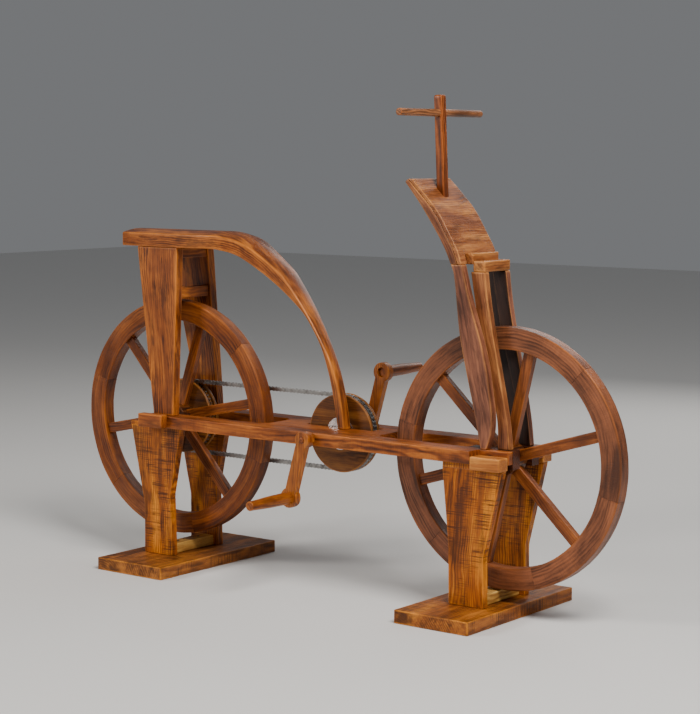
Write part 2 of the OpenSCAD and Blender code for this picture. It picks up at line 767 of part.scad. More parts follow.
// Roller i of the chain: along the top, round the chainwheel, back below, round the sprocket
half_turn = teeth / 2;
links = 2 * chain_run + teeth;
function link_at(n) = let (i = n % links)
  i < chain_run ? [rear_x + i * pitch, rear_z + pitch_r]
  : i < chain_run + half_turn ? around(crank_x, 90 - (i - chain_run) * 360 / teeth)
  : i < 2 * chain_run + half_turn
    ? [crank_x - (i - chain_run - half_turn) * pitch, rear_z - pitch_r]
  : around(rear_x, -90 - (i - 2 * chain_run - half_turn) * 360 / teeth);
function around(x, a) = [x + pitch_r * cos(a), rear_z + pitch_r * sin(a)];
module link_plate(i, y0, pin) {
  a = link_at(i);
  b = link_at(i + 1);
  t = atan2(b[1] - a[1], b[0] - a[0]);
  for (s = [0, 1]) translate([0, s * 2 * chain_y, 0]) mirror([0, s, 0])
    translate([a[0], chain_y - y0, a[1]]) rotate([90, -t, 0]) {
      linear_extrude(plate_t) {
        for (x = [0, pitch]) translate([x, 0]) circle(d = plate_h, $fn = 24);
        translate([0, -plate_h * 0.38]) square([pitch, plate_h * 0.76]);
      }
      if (pin > 0) for (x = [0, pitch]) translate([x, 0, plate_t / 2])
        cylinder(d = pin, h = plate_t / 2 + 1, $fn = 16);
    }
}
module chain_links() {
  color(steel) for (i = [0:links - 1])
    link_plate(i, chain_in / 2 + (i % 2) * (plate_t + fit), (i % 2) * roller_d * 0.55);
}
module chain_rollers() {
  color(steel) for (i = [0:links - 1]) {
    a = link_at(i);
    rod(a[0], a[1], roller_d, chain_y - chain_in / 2, chain_y + chain_in / 2, $fn = 24);
  }
}

base(rear_stand_x, rear_base_w);  // base_rear
base(front_stand_x, front_base_w);  // base_front
rear_leg();  // leg_rear_right
to_left() rear_leg();  // leg_rear_left
front_leg();  // leg_front_right
to_left() front_leg();  // leg_front_left
batten(batten_rear_x);  // batten_rear
batten(batten_front_x);  // batten_front
stand_nails();
rail();  // rail_right
to_left() rail();  // rail_left
centre_board();
slot_blocks();
end_block_rear();  // end_block_rear_right
to_left() end_block_rear();  // end_block_rear_left
end_block_front();  // end_block_front_right
to_left() end_block_front();  // end_block_front_left
axle_cheeks();
seat_post();  // seat_post_right
to_left() seat_post();  // seat_post_left
seat_brace();
seat_cleat();
saddle_arch();
front_board();
board_leg();  // board_leg_right
to_left() board_leg();  // board_leg_left
yoke_rear();
yoke_front();
fork_blade();  // fork_blade_right
to_left() fork_blade();  // fork_blade_left
handle_post();
hand_bar();
front_axle();
rear_axle();
axle_washers();
felloes(front_x, front_z, front_phase);  // front_felloes
spokes(front_x, front_z, front_phase);  // front_spokes
front_hub();
front_bush();
felloes(rear_x, rear_z, rear_phase);  // rear_felloes
spokes(rear_x, rear_z, rear_phase);  // rear_spokes
rear_hub();
rear_bush();
sprocket_disc_right();
sprocket_disc_left();
rear_sprocket();
chainwheel_disc_right();
chainwheel_disc_left();
chainwheel();
crank_flanges();
chainwheel_bolts();
crank_axle();
crank_collars();
crank_bushes();
crank_arm_right();
crank_arm_left();
pedal_right();
pedal_left();
chain_links();
chain_rollers();
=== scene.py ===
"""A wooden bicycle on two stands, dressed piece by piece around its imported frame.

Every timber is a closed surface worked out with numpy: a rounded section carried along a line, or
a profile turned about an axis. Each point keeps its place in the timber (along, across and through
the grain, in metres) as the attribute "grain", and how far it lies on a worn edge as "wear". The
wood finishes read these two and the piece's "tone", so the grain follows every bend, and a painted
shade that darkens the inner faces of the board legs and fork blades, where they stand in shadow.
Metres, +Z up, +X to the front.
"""

from __future__ import annotations

import json
import logging
import math
from dataclasses import dataclass, field
from enum import Enum

import bmesh
import bpy
import numpy as np
from mathutils import Matrix, Vector

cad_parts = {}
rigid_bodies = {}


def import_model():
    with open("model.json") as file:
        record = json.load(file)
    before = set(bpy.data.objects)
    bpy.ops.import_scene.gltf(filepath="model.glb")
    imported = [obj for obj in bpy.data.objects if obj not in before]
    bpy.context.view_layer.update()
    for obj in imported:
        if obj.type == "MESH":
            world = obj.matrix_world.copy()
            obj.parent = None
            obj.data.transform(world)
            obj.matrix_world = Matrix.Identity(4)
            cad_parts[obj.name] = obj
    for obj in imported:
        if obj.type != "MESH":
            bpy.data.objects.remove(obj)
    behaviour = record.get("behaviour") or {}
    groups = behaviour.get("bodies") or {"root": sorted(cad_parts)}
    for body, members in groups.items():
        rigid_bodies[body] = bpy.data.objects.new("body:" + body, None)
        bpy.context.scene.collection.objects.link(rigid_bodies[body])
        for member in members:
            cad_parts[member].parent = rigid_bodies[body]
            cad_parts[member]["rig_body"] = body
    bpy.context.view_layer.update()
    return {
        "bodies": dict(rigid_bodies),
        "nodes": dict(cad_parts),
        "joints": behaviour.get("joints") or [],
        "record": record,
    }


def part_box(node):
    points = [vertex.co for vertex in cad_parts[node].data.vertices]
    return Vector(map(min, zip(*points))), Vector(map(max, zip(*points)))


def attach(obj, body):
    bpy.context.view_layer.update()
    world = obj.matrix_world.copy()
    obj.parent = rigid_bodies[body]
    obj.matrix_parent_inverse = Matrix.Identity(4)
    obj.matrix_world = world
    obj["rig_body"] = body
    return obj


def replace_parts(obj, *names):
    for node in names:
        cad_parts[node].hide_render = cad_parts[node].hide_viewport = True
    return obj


LOG = logging.getLogger("bicycle")
MM = 0.001
MERGE = 0.01 * MM
FLAT_ANGLE = math.radians(0.5)
EDGE_ANGLE = math.radians(30)
SMOOTH_ANGLE = math.radians(40)
CRISP_SHARE = 0.2
GRAIN_REACH = (4, 0.05, 0.05)
GAMMA = 2.2
Array = np.ndarray
X_AXIS, Y_AXIS, Z_AXIS = np.eye(3)


class Grain(Enum):
    """The way the fibres run in a timber that is copied from the frame."""

    ALONG = (0, 1, 2)
    ACROSS = (1, 0, 2)
    UPRIGHT = (2, 0, 1)


# ---------------------------------------------------------------- surfaces


@dataclass
class Skin:
    """Rings of points that close up round a timber.

    points and grain are (rings, points in a ring, 3), wear is (rings, points in a ring). A skin
    that wraps joins its last ring to its first; any other is closed by a point at each end.
    """

    points: Array
    grain: Array
    wear: Array
    wraps: bool = False

    def faces(self) -> tuple[Array, Array]:
        """The skin's faces, as whole index arrays.

        Returns:
            The four-cornered faces, and the triangles that close the two ends.
        """
        rings, around = self.points.shape[:2]
        i, j = np.meshgrid(np.arange(rings if self.wraps else rings - 1), np.arange(around), indexing="ij")
        i2, j2 = (i + 1) % rings, (j + 1) % around
        quads = np.stack([i * around + j, i * around + j2, i2 * around + j2, i2 * around + j], -1)
        quads = quads.reshape(-1, 4)
        if self.wraps:
            return quads, np.zeros((0, 3), int)
        k, k2 = np.arange(around), (np.arange(around) + 1) % around
        last = (rings - 1) * around
        start = np.stack([np.full(around, rings * around), k2, k], -1)
        end = np.stack([np.full(around, rings * around + 1), last + k, last + k2], -1)
        return quads, np.concatenate([start, end])

    def flat(self) -> tuple[Array, Array, Array]:
        """Points, grain and wear as plain lists, with the two end points added.

        Returns:
            Arrays of shape (n, 3), (n, 3) and (n,).
        """
        points, grain, wear = self.points.reshape(-1, 3), self.grain.reshape(-1, 3), self.wear.ravel()
        if self.wraps:
            return points, grain, wear
        ends = [0, -1]
        return (
            np.concatenate([points, self.points[ends].mean(1)]),
            np.concatenate([grain, self.grain[ends].mean(1)]),
            np.concatenate([wear, self.wear[ends].mean(1)]),
        )


def ripple(points: Array, seed: int) -> Array:
    """A soft unevenness from -1 to 1: a mean of plane waves with lengths of 35 to 190 mm.

    Args:
        points: Places, as an array whose last axis is x, y and z.
        seed: Which set of waves to use.

    Returns:
        One value for each place.
    """
    rng = np.random.default_rng(seed)
    lengths = np.geomspace(35 * MM, 190 * MM, 7)
    ways = rng.normal(size=(7, 3))
    ways /= np.linalg.norm(ways, axis=1, keepdims=True)
    phases = rng.uniform(0, 2 * np.pi, 7)
    return np.sin(points @ (ways.T * (2 * np.pi / lengths)) + phases).mean(-1)


@dataclass(frozen=True)
class Section:
    """A rounded rectangle as a template.

    A point's place is A * (half size - radius - margin) + B * margin + C * radius on each of the
    two axes, so one template serves every size. The margin keeps a flat face flat beside its edge.
    """

    arc: int = 4
    divisions: int = 3

    def template(self) -> tuple[Array, Array, Array, Array]:
        """The weights A, B and C of every point.

        Returns:
            Weights on the first axis (k, 3), on the second (k, 3), outward directions (k, 2) and
            wear (k,).
        """
        share = np.linspace(-1, 1, self.divisions + 2)
        turn = np.linspace(0, np.pi / 2, self.arc + 1)
        side, none, bend = np.ones_like(share), np.zeros_like(share), np.ones_like(turn)
        p = np.concatenate([np.stack([side] * 3, 1), np.stack([bend, bend, np.cos(turn)], 1)])
        q = np.concatenate([np.stack([share, none, none], 1), np.stack([bend, bend, np.sin(turn)], 1)])
        out = np.concatenate([np.stack([side, none], 1), np.stack([np.cos(turn), np.sin(turn)], 1)])
        wear = np.concatenate([none, 0.6 + 0.4 * np.sin(2 * turn)])
        u = np.concatenate([p, -q, -p, q])
        v = np.concatenate([q, p, -q, -p])
        o, s = out[:, 0], out[:, 1]
        outward = np.stack([np.concatenate([o, -s, -o, s]), np.concatenate([s, o, -s, -o])], 1)
        return u, v, outward, np.tile(wear, 4)


def spread(values: Array | float, stations: int, width: int = 0) -> Array:
    """Repeats one value, or one direction, for every station of a line.

    Args:
        values: One value or one per station.
        stations: How many stations the line has.
        width: 3 for directions, 0 for plain numbers.

    Returns:
        An array with one entry per station.
    """
    shape = (stations, width) if width else (stations,)
    return np.broadcast_to(np.asarray(values, float), shape)


def sampled(at: Array, knots: Array, values: Array) -> Array:
    """Values between the knots of a line, by straight interpolation on each column.

    Args:
        at: Distances along the line.
        knots: The distances at which the values are known.
        values: (knots,) or (knots, 3).

    Returns:
        The values at the wanted distances.
    """
    if values.ndim == 1:
        return np.interp(at, knots, values)
    return np.stack([np.interp(at, knots, column) for column in values.T], 1)


@dataclass
class Timber:
    """A rounded rectangular section carried along a line.

    The line's points, the two directions u and v of the section and its half sizes may all change
    from station to station. edge is the radius of the long edges and end_edge of the ends (0 for
    the same), crown how far the face on the u side swells in its middle, uneven the depth of the
    hand-worked hollows.
    """

    line: Array
    u: Array
    v: Array
    half_u: Array | float
    half_v: Array | float
    edge: float = 2 * MM
    end_edge: float = 0.0
    crown: Array | float = 0.0
    uneven: float = 0.5 * MM
    spacing: float = 12 * MM
    steps: bool = False
    section: Section = field(default_factory=Section)
    seed: int = 1

    def ring_plan(self, length: float, knots: Array) -> tuple[Array, Array, Array, Array]:
        """Where the rings stand: shrinking rings on each end face, a quarter turn round each end
        edge, and evenly spaced rings between them.

        Args:
            length: The line's length.
            knots: Distances of the line's own points, kept as rings when steps is set.

        Returns:
            Distance along the line, inset, scale and wear of every ring.
        """
        end = self.end_edge or self.edge
        margin = 1.2 * end
        turn = np.linspace(np.pi / 2, 0, self.section.arc + 1)
        place = np.concatenate([np.zeros(3), end * (1 - np.sin(turn))])
        inset = np.concatenate([np.full(3, end + margin), end * (1 - np.cos(turn))])
        scale = np.concatenate([[0.3, 0.7, 1.0], np.ones_like(turn)])
        wear = np.concatenate([np.zeros(3), (0.6 + 0.4 * np.sin(2 * turn)) * (not self.end_edge)])
        first, last = end + margin, length - end - margin
        middle = np.linspace(first, last, max(2, round((last - first) / self.spacing) + 1))
        if self.steps:
            middle = np.union1d(middle, knots[(knots > first) & (knots < last)])
        flat = np.zeros_like(middle)
        return (
            np.concatenate([place, middle, (length - place)[::-1]]),
            np.concatenate([inset, flat, inset[::-1]]),
            np.concatenate([scale, flat + 1, scale[::-1]]),
            np.concatenate([wear, flat, wear[::-1]]),
        )

    def skin(self) -> Skin:
        """Carries the section along the line.

        Returns:
            The timber's closed skin.
        """
        line = np.asarray(self.line, float)
        n = len(line)
        knots = np.concatenate([[0], np.cumsum(np.linalg.norm(np.diff(line, axis=0), axis=1))])
        place, inset, scale, ring_wear = self.ring_plan(knots[-1], knots)
        at = {
            "centre": line,
            "u": spread(self.u, n, 3),
            "v": spread(self.v, n, 3),
            "a": spread(self.half_u, n),
            "b": spread(self.half_v, n),
            "crown": spread(self.crown, n),
        }
        at = {key: sampled(place, knots, value) for key, value in at.items()}
        a, b = (at["a"] - inset) * scale, (at["b"] - inset) * scale
        small = np.minimum(a, b)
        radius = np.minimum(np.clip(self.edge - inset, 0.2 * self.edge, None) * scale, 0.8 * small)
        margin = np.minimum(1.2 * self.edge * scale, 0.3 * (small - radius))
        weight_u, weight_v, outward, edge_wear = self.section.template()
        u = np.stack([a - radius - margin, margin, radius], 1) @ weight_u.T
        v = np.stack([b - radius - margin, margin, radius], 1) @ weight_v.T
        swell = at["crown"][:, None] * scale[:, None] * (1 - np.clip(v / b[:, None], -1, 1) ** 2)
        raised = u + swell * (outward[:, 0] > 0.3)
        across, through = at["u"][:, None, :], at["v"][:, None, :]
        points = at["centre"][:, None, :] + across * raised[..., None] + through * v[..., None]
        normals = across * outward[:, 0, None] + through * outward[:, 1, None]
        side = (scale == 1) & (inset < (self.end_edge or self.edge))
        hollow = self.uneven * (0.5 + 0.5 * ripple(points, self.seed)) * side[:, None]
        points = points - normals * hollow[..., None]
        wear = np.maximum(edge_wear * side[:, None], ring_wear[:, None])
        grain = np.stack([np.broadcast_to(place[:, None], u.shape), u, v], -1)
        return Skin(points, grain, wear)


def block(low: Array, high: Array, way: Grain, **options: float) -> Skin:
    """A straight timber that fills a box, with its fibres along one axis.

    Args:
        low: The box's lowest corner.
        high: Its highest corner.
        way: Which axis the fibres follow.
        **options: Other fields of Timber.

    Returns:
        The timber's skin.
    """
    axes = np.eye(3)
    along, u, v = way.value
    middle, half = (np.asarray(low) + high) / 2, (np.asarray(high) - low) / 2
    line = middle + np.outer([-1, 1], axes[along] * half[along])
    return Timber(line, axes[u], axes[v], half[u], half[v], **options).skin()


def filleted(corners: Array, radii: Array, closed: bool, parts: int = 4) -> tuple[Array, Array]:
    """Rounds the corners of a line: each becomes a curve (1-t)^2 P + 2t(1-t) Q + t^2 R, where Q is
    the corner and P and R lie one radius before and after it.

    Args:
        corners: (n, 2) points.
        radii: (n,) how far each curve reaches from its corner.
        closed: Whether the line joins up.
        parts: Straight parts in each curve.

    Returns:
        The rounded line, and 1 on its curves and 0 elsewhere.
    """
    before, after = np.roll(corners, 1, 0) - corners, np.roll(corners, -1, 0) - corners
    if not closed:
        before[0], after[-1] = -after[0], -before[-1]
        radii = np.concatenate([[0], radii[1:-1], [0]])
    before /= np.linalg.norm(before, axis=1, keepdims=True)
    after /= np.linalg.norm(after, axis=1, keepdims=True)
    t = np.linspace(0, 1, parts + 1)[None, :, None]
    reach = radii[:, None, None]
    p, r = corners[:, None] + before[:, None] * reach, corners[:, None] + after[:, None] * reach
    curve = (1 - t) ** 2 * p + 2 * t * (1 - t) * corners[:, None] + t**2 * r
    p, r = p[:, 0] + before * reach[:, 0] * 0.8, r[:, 0] + after * reach[:, 0] * 0.8
    line = np.concatenate([p[:, None], curve, r[:, None]], 1)
    wear = np.zeros(line.shape[:2])
    wear[:, 1:-1] = np.clip(1 + (before * after).sum(1), 0, 1)[:, None]
    return line.reshape(-1, 2), wear.ravel()


def turned(
    corners: list[tuple[float, float]], centre: Array, edge: float, way: Grain, wraps: bool,
    around: int = 72, uneven: float = 0.2 * MM, seed: int = 1,
) -> Skin:
    """A profile of radius and distance turned about an axis that lies along Y.

    Args:
        corners: (radius, distance along Y) of the profile's corners.
        centre: A point on the axis.
        edge: Radius of the rounded corners.
        way: Which axis the fibres follow.
        wraps: Whether the profile joins up, as round a bore.
        around: Points in a full turn.
        uneven: Depth of the hollows.
        seed: Which hollows.

    Returns:
        The turned skin.
    """
    corners = np.asarray(corners, float)
    radii = np.where(corners[:, 0] > 0, edge, 0)
    profile, wear = filleted(corners, radii, wraps)
    if not wraps:
        profile, wear = profile[2:-2], wear[2:-2]
    angle = np.linspace(0, 2 * np.pi, around, endpoint=False)
    radius = profile[:, 0, None] * np.ones(around)
    ring = np.cos(angle)[:, None] * Z_AXIS + np.sin(angle)[:, None] * X_AXIS
    points = np.asarray(centre) + radius[..., None] * ring + profile[:, 1, None, None] * Y_AXIS
    hollow = uneven * (0.5 + 0.5 * ripple(points, seed)) * (radius > 4 * edge)
    points = points - ring * hollow[..., None]
    grain = (points - centre)[..., list(way.value)]
    return Skin(points, grain, np.broadcast_to(wear[:, None], radius.shape), wraps)


def smooth_line(knots: Array, parts: int) -> Array:
    """A smooth line through its knots, by cubics whose slope at a knot is half the step between
    its two neighbours.

    Args:
        knots: (n, 2) points.
        parts: Points for each stretch between two knots.

    Returns:
        The line's points.
    """
    knots = np.asarray(knots, float)
    padded = np.concatenate([knots[:1], knots, knots[-1:]])
    a, b, c, d = (padded[i : i + len(knots) - 1, None, :] for i in range(4))
    t = np.arange(parts)[None, :, None] / parts
    curve = 2 * b + (c - a) * t + (2 * a - 5 * b + 4 * c - d) * t**2 + (3 * b - a - 3 * c + d) * t**3
    return np.concatenate([(curve / 2).reshape(-1, 2), knots[-1:]])


def even(line: Array, count: int) -> Array:
    """The same line with points spaced evenly along its length.

    Args:
        line: (n, 2) points.
        count: How many points to return.

    Returns:
        (count, 2) points.
    """
    reach = np.concatenate([[0], np.cumsum(np.linalg.norm(np.diff(line, axis=0), axis=1))])
    return sampled(np.linspace(0, reach[-1], count), reach, line)


def in_side_view(flat: Array, y: Array | float = 0.0) -> Array:
    """Points of a side view, (x, z), as places in space.

    Args:
        flat: (n, 2) points.
        y: Where they lie across the bicycle.

    Returns:
        (n, 3) points.
    """
    return np.stack([flat[:, 0], spread(y, len(flat)), flat[:, 1]], 1)


# ---------------------------------------------------------------- finishes


def linear(red: float, green: float, blue: float) -> tuple[float, float, float, float]:
    """A screen colour as the light it stands for, each channel raised to the power 2.2."""
    return (red**GAMMA, green**GAMMA, blue**GAMMA, 1.0)


class Recipe:
    """One material's nodes, with a short method for each step."""

    def __init__(self, name: str) -> None:
        """Starts an empty material that ends in a shader.

        Args:
            name: The material's name.
        """
        self.material = bpy.data.materials.new(name)
        self.material.use_nodes = True
        self.tree = self.material.node_tree
        self.tree.nodes.clear()
        self.shader = self.add("ShaderNodeBsdfPrincipled")
        output = self.add("ShaderNodeOutputMaterial")
        self.tree.links.new(self.shader.outputs[0], output.inputs[0])

    def add(self, kind: str, **settings: object) -> bpy.types.Node:
        """Adds a node and sets its fields.

        Args:
            kind: The node's type.
            **settings: Its fields.

        Returns:
            The node.
        """
        node = self.tree.nodes.new(kind)
        for key, value in settings.items():
            setattr(node, key, value)
        return node

    def feed(self, socket: bpy.types.NodeSocket, value: object) -> None:
        """Links a socket to another, or sets its value.

        Args:
            socket: The socket to feed.
            value: Another socket, or a plain value.
        """
        if isinstance(value, bpy.types.NodeSocket):
            self.tree.links.new(value, socket)
        else:
            socket.default_value = value

    def attribute(self, name: str, output: str = "Fac") -> bpy.types.NodeSocket:
        """The mesh attribute of that name."""
        return self.add("ShaderNodeAttribute", attribute_name=name).outputs[output]

    def place(self) -> bpy.types.NodeSocket:
        """A point's place in its object."""
        return self.add("ShaderNodeTexCoord").outputs["Object"]

    def stretched(
        self, vector: bpy.types.NodeSocket, scale: tuple[float, float, float],
        shift: tuple[float, float, float] = (0, 0, 0),
    ) -> bpy.types.NodeSocket:
        """The vector with each axis scaled, then shifted.

        Args:
            vector: The place.
            scale: The scale on each axis.
            shift: What is added afterwards.

        Returns:
            The new place.
        """
        node = self.add("ShaderNodeMapping")
        self.feed(node.inputs["Vector"], vector)
        node.inputs["Scale"].default_value = scale
        node.inputs["Location"].default_value = shift
        return node.outputs[0]

    def noise(
        self, vector: bpy.types.NodeSocket, detail: float = 3, rough: float = 0.55, output: str = "Fac"
    ) -> bpy.types.NodeSocket:
        """Cloudy noise of scale 1 on the vector.

        Args:
            vector: The place.
            detail: How many finer layers it has.
            rough: How strong the finer layers are.
            output: "Fac" for one value, "Color" for three.

        Returns:
            The noise.
        """
        node = self.add("ShaderNodeTexNoise")
        self.feed(node.inputs["Vector"], vector)
        node.inputs["Scale"].default_value = 1
        node.inputs["Detail"].default_value = detail
        node.inputs["Roughness"].default_value = rough
        return node.outputs[output]

    def wave(
        self, vector: bpy.types.NodeSocket, kind: str, distortion: float, detail: float
    ) -> bpy.types.NodeSocket:
        """Bands across X, or rings about X, of scale 1 on the vector.

        Args:
            vector: The place.
            kind: "BANDS" or "RINGS".
            distortion: How far the waves wander.
            detail: Scale of the wandering.

        Returns:
            The wave, from 0 to 1.
        """
        node = self.add("ShaderNodeTexWave", wave_type=kind, bands_direction="X", rings_direction="X")
        self.feed(node.inputs["Vector"], vector)
        node.inputs["Scale"].default_value = 1
        node.inputs["Distortion"].default_value = distortion
        node.inputs["Detail"].default_value = 2
        node.inputs["Detail Scale"].default_value = detail
        return node.outputs["Fac"]

    def level(
        self, value: bpy.types.NodeSocket, low: float, high: float, to_low: float = 0, to_high: float = 1
    ) -> bpy.types.NodeSocket:
        """The value carried from one range to another, smoothly, and kept inside it.

        Args:
            value: The value.
            low: Start of the old range.
            high: Its end.
            to_low: Start of the new range.
            to_high: Its end.

        Returns:
            The carried value.
        """
        node = self.add("ShaderNodeMapRange", interpolation_type="SMOOTHSTEP")
        self.feed(node.inputs["Value"], value)
        for key, number in zip(("From Min", "From Max", "To Min", "To Max"), (low, high, to_low, to_high)):
            node.inputs[key].default_value = number
        return node.outputs[0]

    def sum(self, kind: str, first: object, second: object) -> bpy.types.NodeSocket:
        """Two numbers put together: ADD, SUBTRACT, MULTIPLY, MAXIMUM and so on.

        Args:
            kind: The operation.
            first: The first number.
            second: The second number.

        Returns:
            The result.
        """
        node = self.add("ShaderNodeMath", operation=kind)
        self.feed(node.inputs[0], first)
        self.feed(node.inputs[1], second)
        return node.outputs[0]

    def mix(self, share: object, first: object, second: object, kind: str = "MIX") -> bpy.types.NodeSocket:
        """Two colours mixed by a share from 0 to 1.

        Args:
            share: How much of the second colour.
            first: The first colour.
            second: The second colour.
            kind: The way of mixing.

        Returns:
            The mixed colour.
        """
        node = self.add("ShaderNodeMix", data_type="RGBA", blend_type=kind)
        self.feed(node.inputs[0], share)
        self.feed(node.inputs[6], first)
        self.feed(node.inputs[7], second)
        return node.outputs[2]

    def ramp(self, value: object, stops: list[tuple[float, tuple]]) -> bpy.types.NodeSocket:
        """A colour looked up along a row of stops.

        Args:
            value: Where to look.
            stops: (position, colour) from low to high.

        Returns:
            The colour.
        """
        node = self.add("ShaderNodeValToRGB")
        self.feed(node.inputs[0], value)
        row = node.color_ramp.elements
        row[0].position, row[0].color = stops[0]
        row[1].position, row[1].color = stops[-1]
        for position, colour in stops[1:-1]:
            row.new(position).color = colour
        return node.outputs[0]

    def relief(self, height: bpy.types.NodeSocket, depth: float, strength: float) -> None:
        """Bumps on the shader, of a depth in metres.

        Args:
            height: The height, from 0 to 1.
            depth: Depth of the bumps.
            strength: How strongly they show.
        """
        node = self.add("ShaderNodeBump")
        self.feed(node.inputs["Height"], height)
        node.inputs["Distance"].default_value = depth
        node.inputs["Strength"].default_value = strength
        self.tree.links.new(node.outputs[0], self.shader.inputs["Normal"])


@dataclass(frozen=True)
class WoodFinish:
    """A wood and its varnish: three colours, what the saw and the years left, and the gloss."""

    light: tuple[float, float, float]
    middle: tuple[float, float, float]
    dark: tuple[float, float, float]
    tint: tuple[float, float, float] = (0.42, 0.30, 0.27)
    tinted: float = 0.3
    ring_gap: float = 7 * MM
    ringed: float = 0.22
    mottled: float = 0.46
    worn: float = 0.5
    saw_marks: float = 0.0
    stains: float = 0.4
    knots: float = 0.15
    roughness: float = 0.45
    varnish: float = 0.2

    def build(self, name: str) -> bpy.types.Material:
        """Makes the material from the "grain", "wear" and "tone" attributes and a painted-shade attribute.

        Args:
            name: The material's name.

        Returns:
            The material.
        """
        r = Recipe(name)
        grain = r.attribute("grain", "Vector")
        bent = self.bent(r, grain)
        pitch = 0.314 / self.ring_gap
        heart = (0, 0.075 * pitch, 0.045 * pitch)
        rings = r.wave(r.stretched(bent, (0.035 * pitch, pitch, pitch), heart), "RINGS", 3.0, 0.35)
        strength = r.level(r.noise(r.stretched(grain, (2.5, 14, 14), (5.1, 0, 0)), 2), 0.35, 0.7, 0.05, 1)
        rings = r.sum("MULTIPLY", r.sum("SUBTRACT", rings, 0.5), strength)
        fibres = r.noise(r.stretched(bent, (6, 260, 260)), 5, 0.65)
        streaks = r.noise(r.stretched(bent, (1.6, 48, 48)), 4, 0.6)
        patches = r.noise(r.stretched(grain, (5, 12, 12), (1.3, 7, 2)), 4, 0.6)
        pores = r.level(r.noise(r.stretched(grain, (25, 700, 700)), 2), 0.58, 0.72)
        pale = r.sum("ADD", r.sum("MULTIPLY", rings, self.ringed), r.sum("MULTIPLY", fibres, 0.34))
        pale = r.sum("ADD", pale, r.sum("MULTIPLY", streaks, 0.50))
        pale = r.sum("ADD", pale, r.sum("MULTIPLY", patches, self.mottled))
        centre = 0.42 + self.mottled / 2
        colours = [linear(*c) for c in (self.dark, self.middle, self.light)]
        stops = list(zip((centre - 0.17, centre, centre + 0.17), colours))
        colour = r.ramp(pale, stops)
        clouds = r.level(r.noise(r.stretched(grain, (3.2, 11, 11)), 3), 0.42, 0.66)
        tinted = r.sum("MAXIMUM", r.sum("MULTIPLY", clouds, self.tinted), r.attribute("tone"))
        fade = r.level(pale, centre - 0.2, centre + 0.2)
        tint = r.mix(fade, self.shade(self.tint, 0.62), self.shade(self.tint, 1.32))
        colour = r.mix(tinted, colour, tint)
        stain = r.level(r.noise(r.stretched(grain, (8, 30, 30), (3.7, 1.9, 0)), 5, 0.65), 0.50, 0.66)
        stain = r.sum("MULTIPLY", stain, self.stains)
        colour = r.mix(stain, colour, self.shade(self.dark, 0.6))
        colour = r.mix(r.sum("MULTIPLY", pores, 0.5), colour, self.shade(self.dark, 0.7))
        knot = self.knot_share(r, grain)
        colour = r.mix(r.sum("MULTIPLY", knot, 0.85), colour, self.shade(self.dark, 0.45))
        height = r.sum("SUBTRACT", r.sum("ADD", fibres, r.sum("MULTIPLY", rings, 0.3)), pores)
        if self.saw_marks:
            lines = r.noise(r.stretched(grain, (330, 9, 9)), 3, 0.6)
            zones = r.level(r.noise(r.stretched(grain, (9, 14, 14), (0.4, 3, 8)), 3), 0.42, 0.56)
            cuts = r.sum("MULTIPLY", r.level(lines, 0.46, 0.62), zones)
            colour = r.mix(r.sum("MULTIPLY", cuts, self.saw_marks), colour, self.shade(self.dark, 0.7))
            height = r.sum("SUBTRACT", height, r.sum("MULTIPLY", cuts, 1.2))
        rubbed = r.level(patches, 0.42, 0.62, self.worn**2 / 2, self.worn)
        worn = r.sum("MULTIPLY", r.attribute("wear"), rubbed)
        colour = r.mix(worn, colour, self.shade(self.light, 1.1))
        # Painted shade: the inner faces of the board legs and fork blades go nearly black, standing for the
        # shadow between them.
        painted_shade = r.sum("MULTIPLY", r.attribute("painted_shade"), 0.88)
        colour = r.mix(painted_shade, colour, self.shade(self.dark, 0.22))
        r.feed(r.shader.inputs["Base Color"], colour)
        rough = r.level(fibres, 0.3, 0.7, self.roughness - 0.08, self.roughness + 0.14)
        r.feed(r.shader.inputs["Roughness"], rough)
        r.shader.inputs["Coat Weight"].default_value = self.varnish
        r.shader.inputs["Coat Roughness"].default_value = 0.25
        r.shader.inputs["Specular IOR Level"].default_value = 0.22
        r.relief(height, 0.5 * MM, 0.5)
        return r.material

    def shade(self, colour: tuple[float, float, float], share: float) -> tuple[float, float, float, float]:
        """A share of one of the finish's colours, kept at 1 or less, as light."""
        return linear(*(min(1.0, c * share) for c in colour))

    def bent(self, r: Recipe, grain: bpy.types.NodeSocket) -> bpy.types.NodeSocket:
        """The place in the timber, pushed about by soft noise so that no fibre runs straight.

        Args:
            r: The recipe.
            grain: The place in the timber.

        Returns:
            The shifted place.
        """
        wander = r.noise(r.stretched(grain, (3, 9, 9)), 3, output="Color")
        shift = r.add("ShaderNodeVectorMath", operation="MULTIPLY_ADD")
        r.feed(shift.inputs[0], wander)
        shift.inputs[1].default_value = (0, 0.05, 0.05)
        r.feed(shift.inputs[2], grain)
        return shift.outputs[0]

    def knot_share(self, r: Recipe, grain: bpy.types.NodeSocket) -> bpy.types.NodeSocket:
        """Knots: the middles of a few cells of a cell pattern, with a dark rim.

        Args:
            r: The recipe.
            grain: The place in the timber.

        Returns:
            1 in a knot and 0 outside it.
        """
        cells = r.add("ShaderNodeTexVoronoi")
        r.feed(cells.inputs["Vector"], r.stretched(grain, (8, 16, 16)))
        cells.inputs["Scale"].default_value = 1
        spot = r.level(cells.outputs["Distance"], 0.05, 0.17, 1, 0)
        split = r.add("ShaderNodeSeparateColor")
        r.feed(split.inputs[0], cells.outputs["Color"])
        chosen = r.sum("LESS_THAN", split.outputs[0], self.knots)
        return r.sum("MULTIPLY", spot, chosen)


